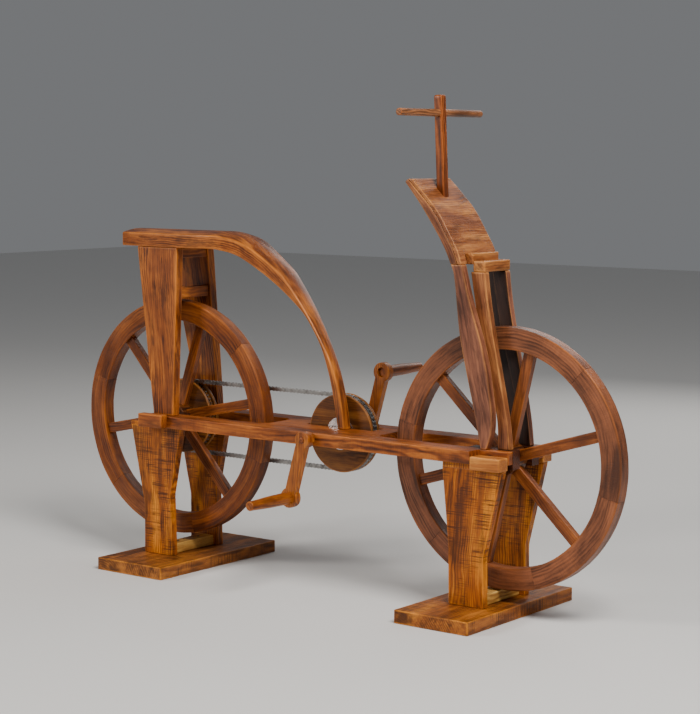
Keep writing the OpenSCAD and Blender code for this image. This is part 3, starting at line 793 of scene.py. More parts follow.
@dataclass(frozen=True)
class MetalFinish:
    """A bare metal: its colour, its gloss and how much grime it has."""

    colour: tuple[float, float, float]
    roughness: float = 0.35
    grime: float = 0.3

    def build(self, name: str) -> bpy.types.Material:
        """Makes the material from the place in the object.

        Args:
            name: The material's name.

        Returns:
            The material.
        """
        r = Recipe(name)
        place = r.place()
        fine = r.noise(r.stretched(place, (900, 260, 900)), 3)
        broad = r.noise(r.stretched(place, (45, 45, 45)), 4, 0.65)
        dirt = r.level(broad, 0.45, 0.7, 0, self.grime)
        colour = r.mix(fine, linear(*(c * 0.82 for c in self.colour)), linear(*self.colour))
        colour = r.mix(dirt, colour, linear(0.16, 0.13, 0.11))
        r.feed(r.shader.inputs["Base Color"], colour)
        r.shader.inputs["Metallic"].default_value = 1.0
        rough = r.sum("ADD", r.level(fine, 0.2, 0.8, self.roughness - 0.08, self.roughness + 0.08), dirt)
        r.feed(r.shader.inputs["Roughness"], rough)
        r.relief(r.sum("ADD", fine, broad), 0.1 * MM, 0.4)
        return r.material


@dataclass(frozen=True)
class Finishes:
    """The finish of every material slot of the frame."""

    stand_wood: WoodFinish = WoodFinish(
        (0.86, 0.53, 0.13), (0.67, 0.35, 0.06), (0.38, 0.19, 0.05), (0.47, 0.29, 0.14), 0.3,
        mottled=0.75, saw_marks=0.85, stains=0.6, knots=0.3, roughness=0.5, varnish=0.1,
    )
    pine: WoodFinish = WoodFinish(
        (0.88, 0.714, 0.395), (0.76, 0.56, 0.274), (0.52, 0.328, 0.137), (0.60, 0.425, 0.228), 0.2,
        stains=0.3, knots=0.1, roughness=0.55, varnish=0.1,
    )
    frame_oak: WoodFinish = WoodFinish(
        (0.72, 0.405, 0.144), (0.52, 0.261, 0.076), (0.28, 0.125, 0.034), (0.44, 0.241, 0.114), 0.4,
        mottled=0.6, saw_marks=0.2, stains=0.5,
    )
    pale_oak: WoodFinish = WoodFinish(
        (0.80, 0.531, 0.251), (0.66, 0.386, 0.16), (0.42, 0.212, 0.076), (0.54, 0.328, 0.167), 0.3, stains=0.3
    )
    dark_oak: WoodFinish = WoodFinish(
        (0.34, 0.174, 0.076), (0.22, 0.106, 0.046), (0.12, 0.053, 0.023), tinted=0.1
    )
    seat_oak: WoodFinish = WoodFinish(
        (0.73, 0.425, 0.152), (0.51, 0.261, 0.076), (0.25, 0.106, 0.034), (0.43, 0.241, 0.122), 0.35,
        mottled=0.7, worn=0.8, stains=0.55, knots=0.2, varnish=0.3,
    )
    front_oak: WoodFinish = WoodFinish(
        (0.78, 0.52, 0.27), (0.54, 0.31, 0.15), (0.29, 0.145, 0.07), (0.42, 0.265, 0.215), 0.5,
        ringed=0.12, mottled=0.62, stains=0.45,
    )
    handle_oak: WoodFinish = WoodFinish(
        (0.62, 0.328, 0.129), (0.43, 0.203, 0.068), (0.22, 0.097, 0.03), (0.50, 0.33, 0.21), 0.15, knots=0.05
    )
    wheel_oak: WoodFinish = WoodFinish(
        (0.64, 0.355, 0.11), (0.46, 0.23, 0.052), (0.26, 0.112, 0.027), (0.46, 0.28, 0.19), 0.3,
        ringed=0.12, mottled=0.6, saw_marks=0.12, stains=0.4,
    )
    hub_oak: WoodFinish = WoodFinish(
        (0.46, 0.261, 0.106), (0.33, 0.174, 0.061), (0.16, 0.077, 0.023), tinted=0.1
    )
    disc_oak: WoodFinish = WoodFinish(
        (0.56, 0.357, 0.16), (0.40, 0.232, 0.095), (0.22, 0.116, 0.046), (0.40, 0.251, 0.122), 0.3,
        ring_gap=5 * MM, mottled=0.6, worn=1.0,
    )
    crank_oak: WoodFinish = WoodFinish(
        (0.72, 0.425, 0.137), (0.54, 0.28, 0.076), (0.29, 0.125, 0.03), (0.44, 0.232, 0.091), 0.15,
        mottled=0.6, knots=0.05, varnish=0.3,
    )
    nail_steel: MetalFinish = MetalFinish((0.55, 0.53, 0.50), 0.45, 0.5)
    axle_steel: MetalFinish = MetalFinish((0.62, 0.62, 0.63), 0.3, 0.3)
    bronze: MetalFinish = MetalFinish((0.72, 0.53, 0.30), 0.32, 0.35)
    sprocket_steel: MetalFinish = MetalFinish((0.56, 0.55, 0.54), 0.32, 0.4)
    flange_steel: MetalFinish = MetalFinish((0.86, 0.86, 0.87), 0.22, 0.15)
    chain_steel: MetalFinish = MetalFinish((0.66, 0.65, 0.64), 0.3, 0.35)


# ---------------------------------------------------------------- the workshop


@dataclass
class Workshop:
    """Makes pieces from skins, and fits each in place of its node of the frame.

    tones says how far a node's wood goes from its own colours to its finish's tint, from 0 to 1.
    The second table says which side of a node gets painted shade, nearly black, for the shadow in
    the recess between the board legs and between the fork blades: the side that looks along Y (1) or
    against it (-1).
    """

    frame: dict
    finishes: Finishes = field(default_factory=Finishes)
    materials: dict[str, bpy.types.Material] = field(default_factory=dict)
    tones: dict[str, float] = field(default_factory=lambda: {
        "front_felloes": 0.85, "front_spokes": 0.2, "base_rear": 0.75, "base_front": 0.55,
        "board_leg_right": 0.8, "board_leg_left": 0.8, "fork_blade_right": 0.3, "fork_blade_left": 0.9,
        "front_board": 0.15, "hand_bar": 0.75, "leg_rear_left": 0.2, "leg_front_left": 0.3,
    })
    # Painted shade on the inner faces of the board legs and fork blades, which stand in shadow.
    sooted: dict[str, float] = field(default_factory=lambda: {
        "board_leg_right": 1.0, "board_leg_left": -1.0, "fork_blade_right": 1.0, "fork_blade_left": -1.0,
    })
    made: int = 0

    def body(self, node: str) -> str:
        """The body that a node belongs to."""
        return self.frame["nodes"][node]["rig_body"]

    def slot(self, node: str) -> str:
        """The material slot of a node."""
        parts = {part["node"]: part["material_slot"] for part in self.frame["record"]["subparts"]}
        return parts[node]

    def material(self, slot: str) -> bpy.types.Material:
        """The material of a slot, made when it is first asked for.

        Args:
            slot: The slot's name.

        Returns:
            The material.
        """
        if slot not in self.materials:
            self.materials[slot] = getattr(self.finishes, slot).build(slot)
        return self.materials[slot]

    def box(self, node: str) -> tuple[Array, Array]:
        """The lowest and highest corner of a node."""
        low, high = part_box(node)
        return np.array(low), np.array(high)

    def pivot(self, joint: str) -> Array:
        """The point that a joint turns about."""
        return np.array(next(j["pos_m"] for j in self.frame["joints"] if j["name"] == joint))

    def fit(self, node: str, skins: list[Skin]) -> None:
        """Makes one piece from its skins, in place of a node."""
        piece = self.place(node, self.mesh(node, skins), self.slot(node), self.body(node))
        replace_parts(piece, node)

    def cuts(self, name: str, count: int) -> Array:
        """Where in its tree each timber of a piece was cut, so that no two look alike.

        Args:
            name: The piece's name, which sets the draws.
            count: How many timbers it has.

        Returns:
            (count, 3) shifts of the grain.
        """
        rng = np.random.default_rng(len(name) * 131 + sum(map(ord, name)))
        return rng.uniform(-1, 1, (count, 3)) * GRAIN_REACH

    def mesh(self, name: str, skins: list[Skin]) -> bpy.types.Mesh:
        """One mesh from several closed skins.

        Args:
            name: The piece's name.
            skins: The closed skins of its solids.

        Returns:
            The mesh, with its four attributes.
        """
        points, grain, wear, faces, count = [], [], [], [], 0
        for skin, shift in zip(skins, self.cuts(name, len(skins))):
            p, g, w = skin.flat()
            quads, triangles = skin.faces()
            if self.volume(p, quads, triangles) < 0:
                quads, triangles = quads[:, ::-1], triangles[:, ::-1]
            points.append(p)
            grain.append(g + shift)
            wear.append(w)
            faces += (quads + count).tolist() + (triangles + count).tolist()
            count += len(p)
        mesh = bpy.data.meshes.new(name + "_wood")
        mesh.from_pydata(np.concatenate(points), [], faces)
        self.write(mesh, name, np.concatenate(grain), np.concatenate(wear))
        mesh.shade_smooth()
        mesh.set_sharp_from_angle(angle=SMOOTH_ANGLE)
        return mesh

    def volume(self, points: Array, quads: Array, triangles: Array) -> float:
        """Six times the volume inside the faces, negative when they point inwards.

        Args:
            points: (n, 3) points.
            quads: Four-cornered faces.
            triangles: Three-cornered faces.

        Returns:
            The sum of a . (b x c) over the triangles.
        """
        corners = np.concatenate([quads[:, [0, 1, 2]], quads[:, [0, 2, 3]], triangles])
        a, b, c = (points[corners[:, i]] for i in range(3))
        return float((a * np.cross(b, c)).sum())

    def write(self, mesh: bpy.types.Mesh, name: str, grain: Array, wear: Array) -> None:
        """Puts the grain, the wear, the piece's tone and its painted shade on a mesh.

        Args:
            mesh: The mesh.
            name: Its node, which sets the tone and the painted shade.
            grain: (n, 3) places in the timber.
            wear: (n,) how far each point lies on a worn edge.
        """
        holder = mesh.attributes.new("grain", "FLOAT_VECTOR", "POINT")
        holder.data.foreach_set("vector", np.ascontiguousarray(grain, np.float32).ravel())
        # Painted shade: a share from 0 to 1 on the faces that look inward between the board legs and between
        # the fork blades, standing for their shadow.
        normal = np.zeros(3 * len(mesh.vertices), np.float32)
        mesh.vertices.foreach_get("normal", normal)
        inward = normal.reshape(-1, 3)[:, 1] * self.sooted.get(name, 0.0)
        values = {
            "wear": wear,
            "tone": np.full(len(mesh.vertices), self.tones.get(name, 0.0)),
            "painted_shade": np.clip(inward * 4 - 2.6, 0, 1),
        }
        for key, value in values.items():
            holder = mesh.attributes.new(key, "FLOAT", "POINT")
            holder.data.foreach_set("value", np.ascontiguousarray(value, np.float32))

    def place(self, name: str, mesh: bpy.types.Mesh, slot: str, body: str) -> bpy.types.Object:
        """Links a piece, gives it its finish and lets it ride with its body.

        Args:
            name: The piece's name.
            mesh: Its mesh.
            slot: Its material slot.
            body: The body that carries it.

        Returns:
            The piece.
        """
        mesh.materials.append(self.material(slot))
        piece = bpy.data.objects.new(name + "_made", mesh)
        bpy.context.scene.collection.objects.link(piece)
        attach(piece, body)
        self.made += 1
        LOG.info("made %s: %d points, finish %s", piece.name, len(mesh.vertices), slot)
        return piece

    def copy(self, node: str, edge: float, way: Grain, sharp_bores: list[tuple[Array, float]] = ()) -> None:
        """Makes a piece from a copy of the node's own mesh, merged, with its edges rounded.

        Args:
            node: The node to copy.
            edge: Width of the rounded edges.
            way: Which axis the fibres follow.
            sharp_bores: (point on the axis, radius) of bores along Y whose rims stay crisp.
        """
        mesh = self.frame["nodes"][node].data.copy()
        mesh.materials.clear()
        shape = bmesh.new()
        shape.from_mesh(mesh)
        bmesh.ops.remove_doubles(shape, verts=shape.verts, dist=MERGE)
        bmesh.ops.dissolve_limit(
            shape, angle_limit=FLAT_ANGLE, verts=shape.verts, edges=shape.edges, delimit=set()
        )
        weight = shape.edges.layers.float.new("bevel_weight_edge")
        for rim in shape.edges:
            if len(rim.link_faces) == 2 and rim.calc_face_angle(0) > EDGE_ANGLE:
                near = [
                    math.hypot(v.co.x - at[0], v.co.z - at[2]) < radius + 0.5 * MM
                    for at, radius in sharp_bores for v in rim.verts
                ]
                rim[weight] = CRISP_SHARE if any(near) else 1.0
        shape.to_mesh(mesh)
        shape.free()
        worker = bpy.data.objects.new(node + "_blank", mesh)
        bpy.context.scene.collection.objects.link(worker)
        bevel = worker.modifiers.new("edge", "BEVEL")
        bevel.limit_method, bevel.width, bevel.segments = "WEIGHT", edge, 4
        worker.modifiers.new("normals", "WEIGHTED_NORMAL").weight = 100
        mesh.shade_smooth()
        ready = bpy.data.meshes.new_from_object(worker.evaluated_get(bpy.context.evaluated_depsgraph_get()))
        bpy.data.objects.remove(worker)
        ready.name = node + "_wood"
        points = np.zeros(len(ready.vertices) * 3, np.float32)
        ready.vertices.foreach_get("co", points)
        points = points.reshape(-1, 3)
        order = list(way.value)
        grain = points[:, order] - points.mean(0)[order] + self.cuts(node, 1)[0]
        self.write(ready, node, grain, self.bent_share(ready))
        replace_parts(self.place(node, ready, self.slot(node), self.body(node)), node)

    def bent_share(self, mesh: bpy.types.Mesh) -> Array:
        """How far each point lies on a rounded edge: one minus the length of the mean of the
        normals of the faces that meet there.

        Args:
            mesh: The mesh.

        Returns:
            0 on a flat face to 1 on an edge, for every point.
        """
        normals = np.zeros(len(mesh.polygons) * 3, np.float32)
        mesh.polygons.foreach_get("normal", normals)
        corners = np.zeros(len(mesh.loops), np.int32)
        mesh.loops.foreach_get("vertex_index", corners)
        sizes = np.zeros(len(mesh.polygons), np.int32)
        mesh.polygons.foreach_get("loop_total", sizes)
        each = np.repeat(normals.reshape(-1, 3), sizes, axis=0)
        total, count = np.zeros((len(mesh.vertices), 3)), np.zeros(len(mesh.vertices))
        np.add.at(total, corners, each)
        np.add.at(count, corners, 1)
        mean = np.linalg.norm(total / np.maximum(count, 1)[:, None], axis=1)
        return np.clip((1 - mean) * 30, 0, 1)

    def dress(self, node: str) -> None:
        """Gives a node of the frame its finish and leaves its shape alone.

        Args:
            node: The node.
        """
        piece = self.frame["nodes"][node]
        piece.data.materials.clear()
        piece.data.materials.append(self.material(self.slot(node)))
        LOG.info("dressed %s: finish %s", node, self.slot(node))


# ---------------------------------------------------------------- the sub-assemblies


@dataclass
class Stand:
    """A base plate, two sawn legs and the batten nailed between them."""

    shop: Workshop
    end: str
    foot: float = 110 * MM
    knee: float = 145 * MM
    edge: float = 2.2 * MM

    def build(self) -> None:
        """Makes the four pieces, and dresses the nails with the rear stand."""
        shop = self.shop
        low, high = shop.box(f"base_{self.end}")
        plate = block(low, high, Grain.ACROSS, edge=2.5 * MM, uneven=1.2 * MM, section=Section(4, 12), seed=3)
        shop.fit(f"base_{self.end}", [plate])
        batten = f"batten_{self.end}"
        shop.fit(batten, [block(*shop.box(batten), Grain.ACROSS, edge=2 * MM, uneven=0.8 * MM, seed=5)])
        for side in ("right", "left"):
            node = f"leg_{self.end}_{side}"
            outline = self.rear_outline(node) if self.end == "rear" else self.front_outline(node)
            shop.fit(node, self.leg(node, *outline))
        if self.end == "rear":
            shop.dress("stand_nails")

    def rear_outline(self, node: str) -> tuple[Array, Array, list[tuple[Array, Array]]]:
        """The two edges of a rear leg, and the horn behind the end of the rail.

        Args:
            node: The leg's node.

        Returns:
            The rear and the front edge as rows of (z, x), and the boxes of (x, z) of the horn.
        """
        low, high = self.shop.box(node)
        top_w = (high[0] - low[0]) / 1.02
        x = low[0] + 0.56 * top_w
        rail = self.shop.box("rail_right")[0]
        base = low[2]
        rear = np.array([[base, x - self.foot / 2], [base + self.knee, x - self.foot / 2], [high[2], low[0]]])
        fore = np.array([[base, x + self.foot / 2], [base + 1.25 * self.knee, x + self.foot / 2 - 6 * MM],
                         [rail[2], high[0]]])
        horn = (
            np.array([low[0] + 3 * MM, rail[2] - 5 * MM]),
            np.array([rail[0] - 1 * MM, rail[2] + 10 * MM]),
        )
        return rear, fore, [horn]

    def front_outline(self, node: str) -> tuple[Array, Array, list[tuple[Array, Array]]]:
        """The two edges of a front leg, and the step beside the end block.

        Args:
            node: The leg's node.

        Returns:
            The rear and the front edge as rows of (z, x), and the boxes of (x, z) of the step.
        """
        low, high = self.shop.box(node)
        top_w = (high[0] - low[0]) / 0.96
        x = low[0] + 0.41 * top_w
        block_low = self.shop.box("end_block_front_right")[0]
        base, under = low[2], block_low[2]
        rear = np.array([[base, x - self.foot / 2], [base + 1.1 * self.knee, x - self.foot / 2 - 3 * MM],
                         [high[2], low[0]]])
        fore = np.array([[base, x + self.foot / 2], [base + 0.93 * self.knee, x + self.foot / 2 - 3 * MM],
                         [under, high[0]]])
        step = (np.array([low[0] + 2 * MM, under - 5 * MM]), np.array([block_low[0] - 0.5 * MM, high[2]]))
        return rear, fore, [step]

    def leg(self, node: str, rear: Array, fore: Array, lugs: list[tuple[Array, Array]]) -> list[Skin]:
        """A leg between its two edges, and the lugs on its top.

        Args:
            node: The leg's node.
            rear: Its rear edge, rows of (z, x).
            fore: Its front edge.
            lugs: Boxes of (x, z).

        Returns:
            The skins.
        """
        low, high = self.shop.box(node)
        z = np.linspace(low[2], fore[-1, 0], 40)
        back, front = np.interp(z, *rear.T), np.interp(z, *fore.T)
        middle_y, half_y = (low[1] + high[1]) / 2, (high[1] - low[1]) / 2
        line = np.stack([(back + front) / 2, np.full_like(z, middle_y), z], 1)
        seed = sum(map(ord, node))
        skins = [Timber(line, X_AXIS, Y_AXIS, (front - back) / 2, half_y, self.edge, uneven=1.1 * MM,
                        section=Section(4, 7), seed=seed).skin()]
        for corner, far in lugs:
            skins.append(block(np.array([corner[0], low[1] + 0.6 * MM, corner[1]]),
                               np.array([far[0], high[1] - 0.6 * MM, far[1]]), Grain.UPRIGHT, edge=2 * MM))
        return skins


@dataclass
class MainFrame:
    """The two rails, the board between them, and the blocks and cheeks that hold the axles."""

    shop: Workshop
    edge: float = 2.5 * MM

    def build(self) -> None:
        """Makes every piece of the frame."""
        shop = self.shop
        for side in ("right", "left"):
            shop.fit(f"rail_{side}", [self.rail(side)])
            for end in ("rear", "front"):
                node = f"end_block_{end}_{side}"
                seed = sum(map(ord, node))
                shop.fit(node, [block(*shop.box(node), Grain.ALONG, edge=3.2 * MM, uneven=0.8 * MM,
                                      section=Section(4, 5), seed=seed)])
        shop.copy("centre_board", 1.5 * MM, Grain.ALONG)
        shop.copy("slot_blocks", 1.5 * MM, Grain.ALONG)
        shop.copy("axle_cheeks", 1.5 * MM, Grain.ALONG)
        for node in ("front_axle", "rear_axle", "axle_washers"):
            shop.dress(node)

    def rail(self, side: str) -> Skin:
        """A rail: full width up to the front block, then the tongue that the block lies against.

        Args:
            side: right or left.

        Returns:
            The rail's skin.
        """
        low, high = self.shop.box(f"rail_{side}")
        block_low, block_high = self.shop.box(f"end_block_front_{side}")
        inner, outer = (high[1], low[1]) if side == "right" else (low[1], high[1])
        tongue = block_high[1] if side == "right" else block_low[1]
        step = block_low[0]
        x = np.array([low[0], step - 0.2 * MM, step + 0.2 * MM, high[0]])
        far = np.array([outer, outer, tongue, tongue])
        z = (low[2] + high[2]) / 2
        line = np.stack([x, (inner + far) / 2, np.full(4, z)], 1)
        return Timber(line, Y_AXIS, Z_AXIS, abs(far - inner) / 2, (high[2] - low[2]) / 2, self.edge,
                      uneven=0.9 * MM, steps=True, section=Section(4, 4), seed=sum(map(ord, side))).skin()


@dataclass
class Seat:
    """Two leaning posts with their brace and cleat, and the saddle plank that bends down to the
    frame in front of the wheel."""

    shop: Workshop
    post_foot: float = 77 * MM
    post_top: float = 158 * MM
    post_t: float = 29 * MM
    lean: float = 33 * MM
    saddle_t: float = 40 * MM
    saddle_fwd: float = 204 * MM
    crown: float = 10 * MM
    foot_w: float = 33 * MM
    foot_t: float = 24 * MM
    foot_left: float = 2 * MM
    half_w: float = 88 * MM
    edge: float = 4 * MM
    # share of the way from the bend to the foot, along x and down, for the two edges
    low_edge: tuple = ((0, 0), (0.163, 0.031), (0.340, 0.115), (0.488, 0.199), (0.608, 0.275),
                       (0.727, 0.366), (0.835, 0.500), (0.893, 0.612), (0.947, 0.767), (1, 1))
    top_edge: tuple = ((0, 0), (0.193, 0.037), (0.414, 0.149), (0.525, 0.226), (0.698, 0.397),
                       (0.834, 0.570), (0.919, 0.713), (0.968, 0.850), (1, 1))
    # how far along, and the share of the half width, on the saddle and on the arch
    saddle_plan: tuple = ((0, 0.86), (0.06, 0.92), (0.2, 0.97), (0.5, 1), (0.8, 1), (0.96, 0.93))
    arch_plan: tuple = ((0.16, 0.72), (0.32, 0.56), (0.5, 0.45), (0.65, 0.37), (0.8, 0.29), (0.92, 0.225))

    def build(self) -> None:
        """Makes the posts, the brace, the cleat and the saddle."""
        for side, sign in (("right", -1), ("left", 1)):
            node = f"seat_post_{side}"
            self.shop.fit(node, [self.post(node, sign)])
        self.shop.copy("seat_brace", 1.8 * MM, Grain.ACROSS)
        self.shop.copy("seat_cleat", 1.8 * MM, Grain.ACROSS)
        self.shop.fit("saddle_arch", [self.arch()])

    def post(self, node: str, sign: int) -> Skin:
        """A post that widens to the rear and leans in on its way up.

        Args:
            node: The post's node.
            sign: -1 on the right and 1 on the left.

        Returns:
            The post's skin.
        """
        low, high = self.shop.box(node)
        z = np.linspace(low[2], high[2], 40)
        share = (z - low[2]) / (high[2] - low[2])
        front = high[0] - 11 * MM * share
        back = high[0] - self.post_foot + (self.post_foot - 11 * MM - self.post_top) * share
        outer = max(abs(low[1]), abs(high[1]))
        y = sign * (outer - self.post_t / 2 - self.lean * share)
        line = np.stack([(front + back) / 2, y, z], 1)
        return Timber(line, X_AXIS, Y_AXIS, (front - back) / 2, self.post_t / 2, 3 * MM, uneven=1.0 * MM,
                      section=Section(4, 6), seed=11 + sign).skin()

    def arch(self) -> Skin:
        """The plank between its low and its top edge: flat over the wheel, then bent down.

        Returns:
            The plank's skin.
        """
        low, high = self.shop.box("saddle_arch")
        rear_x = self.shop.pivot("rear_wheel_spin")[0]
        back, bend, foot = low[0], rear_x + self.saddle_fwd, high[0] - self.foot_t
        seat_z, foot_z = high[2] - self.crown - self.saddle_t, low[2]
        edge_z = seat_z + self.saddle_t
        flat = np.linspace(back, bend, 30)[:-1]
        edges = []
        for shares, end, z in ((self.low_edge, foot, seat_z), (self.top_edge, high[0], edge_z)):
            share_x, share_z = np.array(shares).T
            bent = np.stack([bend + share_x * (end - bend), z - share_z * (z - foot_z)], 1)
            level = np.stack([flat, np.full_like(flat, z)], 1)
            edges.append(np.concatenate([level, even(smooth_line(bent, 6), 70)]))
        under, over = edges
        middle, reach = (under + over) / 2, over - under
        thick = np.linalg.norm(reach, axis=1)
        foot_y = self.foot_left - self.foot_w / 2
        plan = [(back + s * (bend - back), w) for s, w in self.saddle_plan]
        plan += [(bend + s * (foot - bend), w) for s, w in self.arch_plan]
        plan += [(foot, self.foot_w / 2 / self.half_w), (high[0], self.foot_w / 2 / self.half_w)]
        plan = smooth_line(np.array(plan), 6)
        half_y = np.interp(middle[:, 0], *plan.T) * self.half_w
        along = (middle[:, 0] - bend) / (foot - bend)
        y = np.clip(2 * along - 1, 0, 1) * foot_y
        crown = self.crown * np.clip(1 - 0.8 * along, 0.15, 1)
        return Timber(
            in_side_view(middle, y), in_side_view(reach / thick[:, None]), Y_AXIS, thick / 2, half_y,
            self.edge, crown=crown, uneven=0.8 * MM, section=Section(5, 9), seed=21,
        ).skin()


@dataclass
class FrontEnd:
    """The curved board on its two legs, the yokes, the fork blades and the T-handle."""

    shop: Workshop
    leg_t: float = 26 * MM
    panel_t: float = 14 * MM
    tenon: float = 20 * MM
    blade_t: float = 22 * MM
    bar_d: float = 21 * MM
    # x behind the front axle, then the share of the height from the rails to the split
    rear_edge: tuple = ((-30, 0), (-53, 0.214), (-79, 0.429), (-101, 0.639), (-118, 0.927), (-130, 1))
    front_edge: tuple = ((-12, 0), (2, 0.09), (4, 0.2), (-4, 0.31), (-14, 0.432), (-34, 0.593), (-70, 0.813),
                         (-92, 0.979))
    # x behind the front axle and height over the split
    rear_tip: tuple = ((-158, 55), (-218, 142), (-278, 213))
    front_tip: tuple = ((-107, 35), (-134, 81), (-177, 145), (-254, 221))
    blade_rear: tuple = ((-84, 1), (-71, 0.835), (-50, 0.613), (-22, 0.392), (2, 0.169), (5, 0))
    blade_front: tuple = ((-40, 1), (-30, 0.837), (-10, 0.616), (12, 0.394), (33, 0.172), (43, 0))

    def build(self) -> None:
        """Makes every piece of the front end."""
        shop = self.shop
        split = shop.box("front_board")[0][2]
        foot = shop.box("board_leg_right")[0][2]
        half = shop.box("front_board")[1][1]
        rear = self.edge_line(self.rear_edge, self.rear_tip, foot, split)
        fore = self.edge_line(self.front_edge, self.front_tip, foot, split)
        seam = fore - (self.panel_t, 0)
        core = self.band(rear, seam, split, None, 0.0, half, 3 * MM, 31)
        panel = self.band(seam, fore, split, None, 0.0, half, 3 * MM, 36)
        panel.grain = panel.grain[..., [2, 0, 1]]
        shop.fit("front_board", [core, panel])
        leg_y = half - self.leg_t / 2
        shop.fit("board_leg_right", [self.band(rear, fore, foot, split, -leg_y, self.leg_t / 2, 3 * MM, 32)])
        shop.fit("board_leg_left", [self.band(rear, fore, foot, split, leg_y, self.leg_t / 2, 3 * MM, 33)])
        low, high = shop.box("fork_blade_right")
        back = self.edge_line(self.blade_rear, (), low[2], high[2])
        front = self.edge_line(self.blade_front, (), low[2], high[2])
        blade_y = -low[1] - self.blade_t / 2
        for side, sign in (("right", -1), ("left", 1)):
            y = sign * blade_y
            skin = self.band(back, front, low[2], high[2], y, self.blade_t / 2, 3 * MM, 34 + sign)
            shop.fit(f"fork_blade_{side}", [skin])
        shop.copy("yoke_rear", 3 * MM, Grain.ACROSS)
        shop.fit("yoke_front", [block(*shop.box("yoke_front"), Grain.ACROSS, edge=3.5 * MM, uneven=0.8 * MM)])
        shop.fit("handle_post", [self.post()])
        shop.fit("hand_bar", [self.bar()])

    def edge_line(self, up: tuple, over: tuple, foot: float, split: float) -> Array:
        """One edge of the board or of a blade, in side view.

        Args:
            up: Knots below the split.
            over: Knots above it.
            foot: Height of the lowest knot.
            split: Height of the split.

        Returns:
            A smooth line of (x, z).
        """
        x = self.shop.pivot("front_wheel_spin")[0]
        knots = [(x + dx * MM, foot + share * (split - foot)) for dx, share in up]
        knots += [(x + dx * MM, split + dz * MM) for dx, dz in over]
        return smooth_line(np.array(sorted(knots, key=lambda knot: knot[1])), 8)

    def band(
        self, rear: Array, fore: Array, low: float, high: float | None, y: float, half_y: float,
        edge: float, seed: int,
    ) -> Skin:
        """A timber between two edge lines, cut off level at two heights.

        Args:
            rear: The rear edge, (x, z).
            fore: The front edge.
            low: Where it starts.
            high: Where it ends, or None for the edges' own ends.
            y: Its middle across the bicycle.
            half_y: Half its width there.
            edge: Radius of its edges.
            seed: Which hollows.

        Returns:
            The skin.
        """
        share = np.linspace(0, 1, 60)
        tops = [line[-1, 1] if high is None else high for line in (rear, fore)]
        z_rear, z_fore = (low + share * (top - low) for top in tops)
        back = np.stack([np.interp(z_rear, rear[:, 1], rear[:, 0]), z_rear], 1)
        front = np.stack([np.interp(z_fore, fore[:, 1], fore[:, 0]), z_fore], 1)
        reach = front - back
        width = np.linalg.norm(reach, axis=1)
        return Timber(in_side_view((back + front) / 2, y), in_side_view(reach / width[:, None]), Y_AXIS,
                      width / 2, half_y, edge, uneven=1.0 * MM, section=Section(4, 6), seed=seed).skin()

    def post(self) -> Skin:
        """The square handle post, which leans back.

        Returns:
            The post's skin.
        """
        low, high = self.shop.box("handle_post")
        half = (high[1] - low[1]) / 2
        run = (high[0] - low[0]) - 2 * half
        hidden = self.tenon / (high[2] - low[2])
        line = np.array([[low[0] + half + run * (1 - hidden), 0, low[2] + self.tenon],
                         [low[0] + half, 0, high[2]]])
        along = (line[1] - line[0]) / np.linalg.norm(line[1] - line[0])
        return Timber(line, np.cross(Y_AXIS, along), Y_AXIS, half, half, 5 * MM, uneven=0.9 * MM,
                      section=Section(4, 2), seed=41).skin()

    def bar(self) -> Skin:
        """The shaved hand bar, a little thinner at its rounded ends.

        Returns:
            The bar's skin.
        """
        low, high = self.shop.box("hand_bar")
        centre, reach, r = (low + high) / 2, (high[1] - low[1]) / 2, self.bar_d / 2
        stations = np.linspace(-1, 1, 25)
        radii = r * (1 - 0.06 * stations**2)
        corners = [(0.0, -reach)] + list(zip(radii, stations * reach)) + [(0.0, reach)]
        return turned(corners, centre, 1.8 * MM, Grain.ACROSS, False, around=40, uneven=0.6 * MM, seed=42)


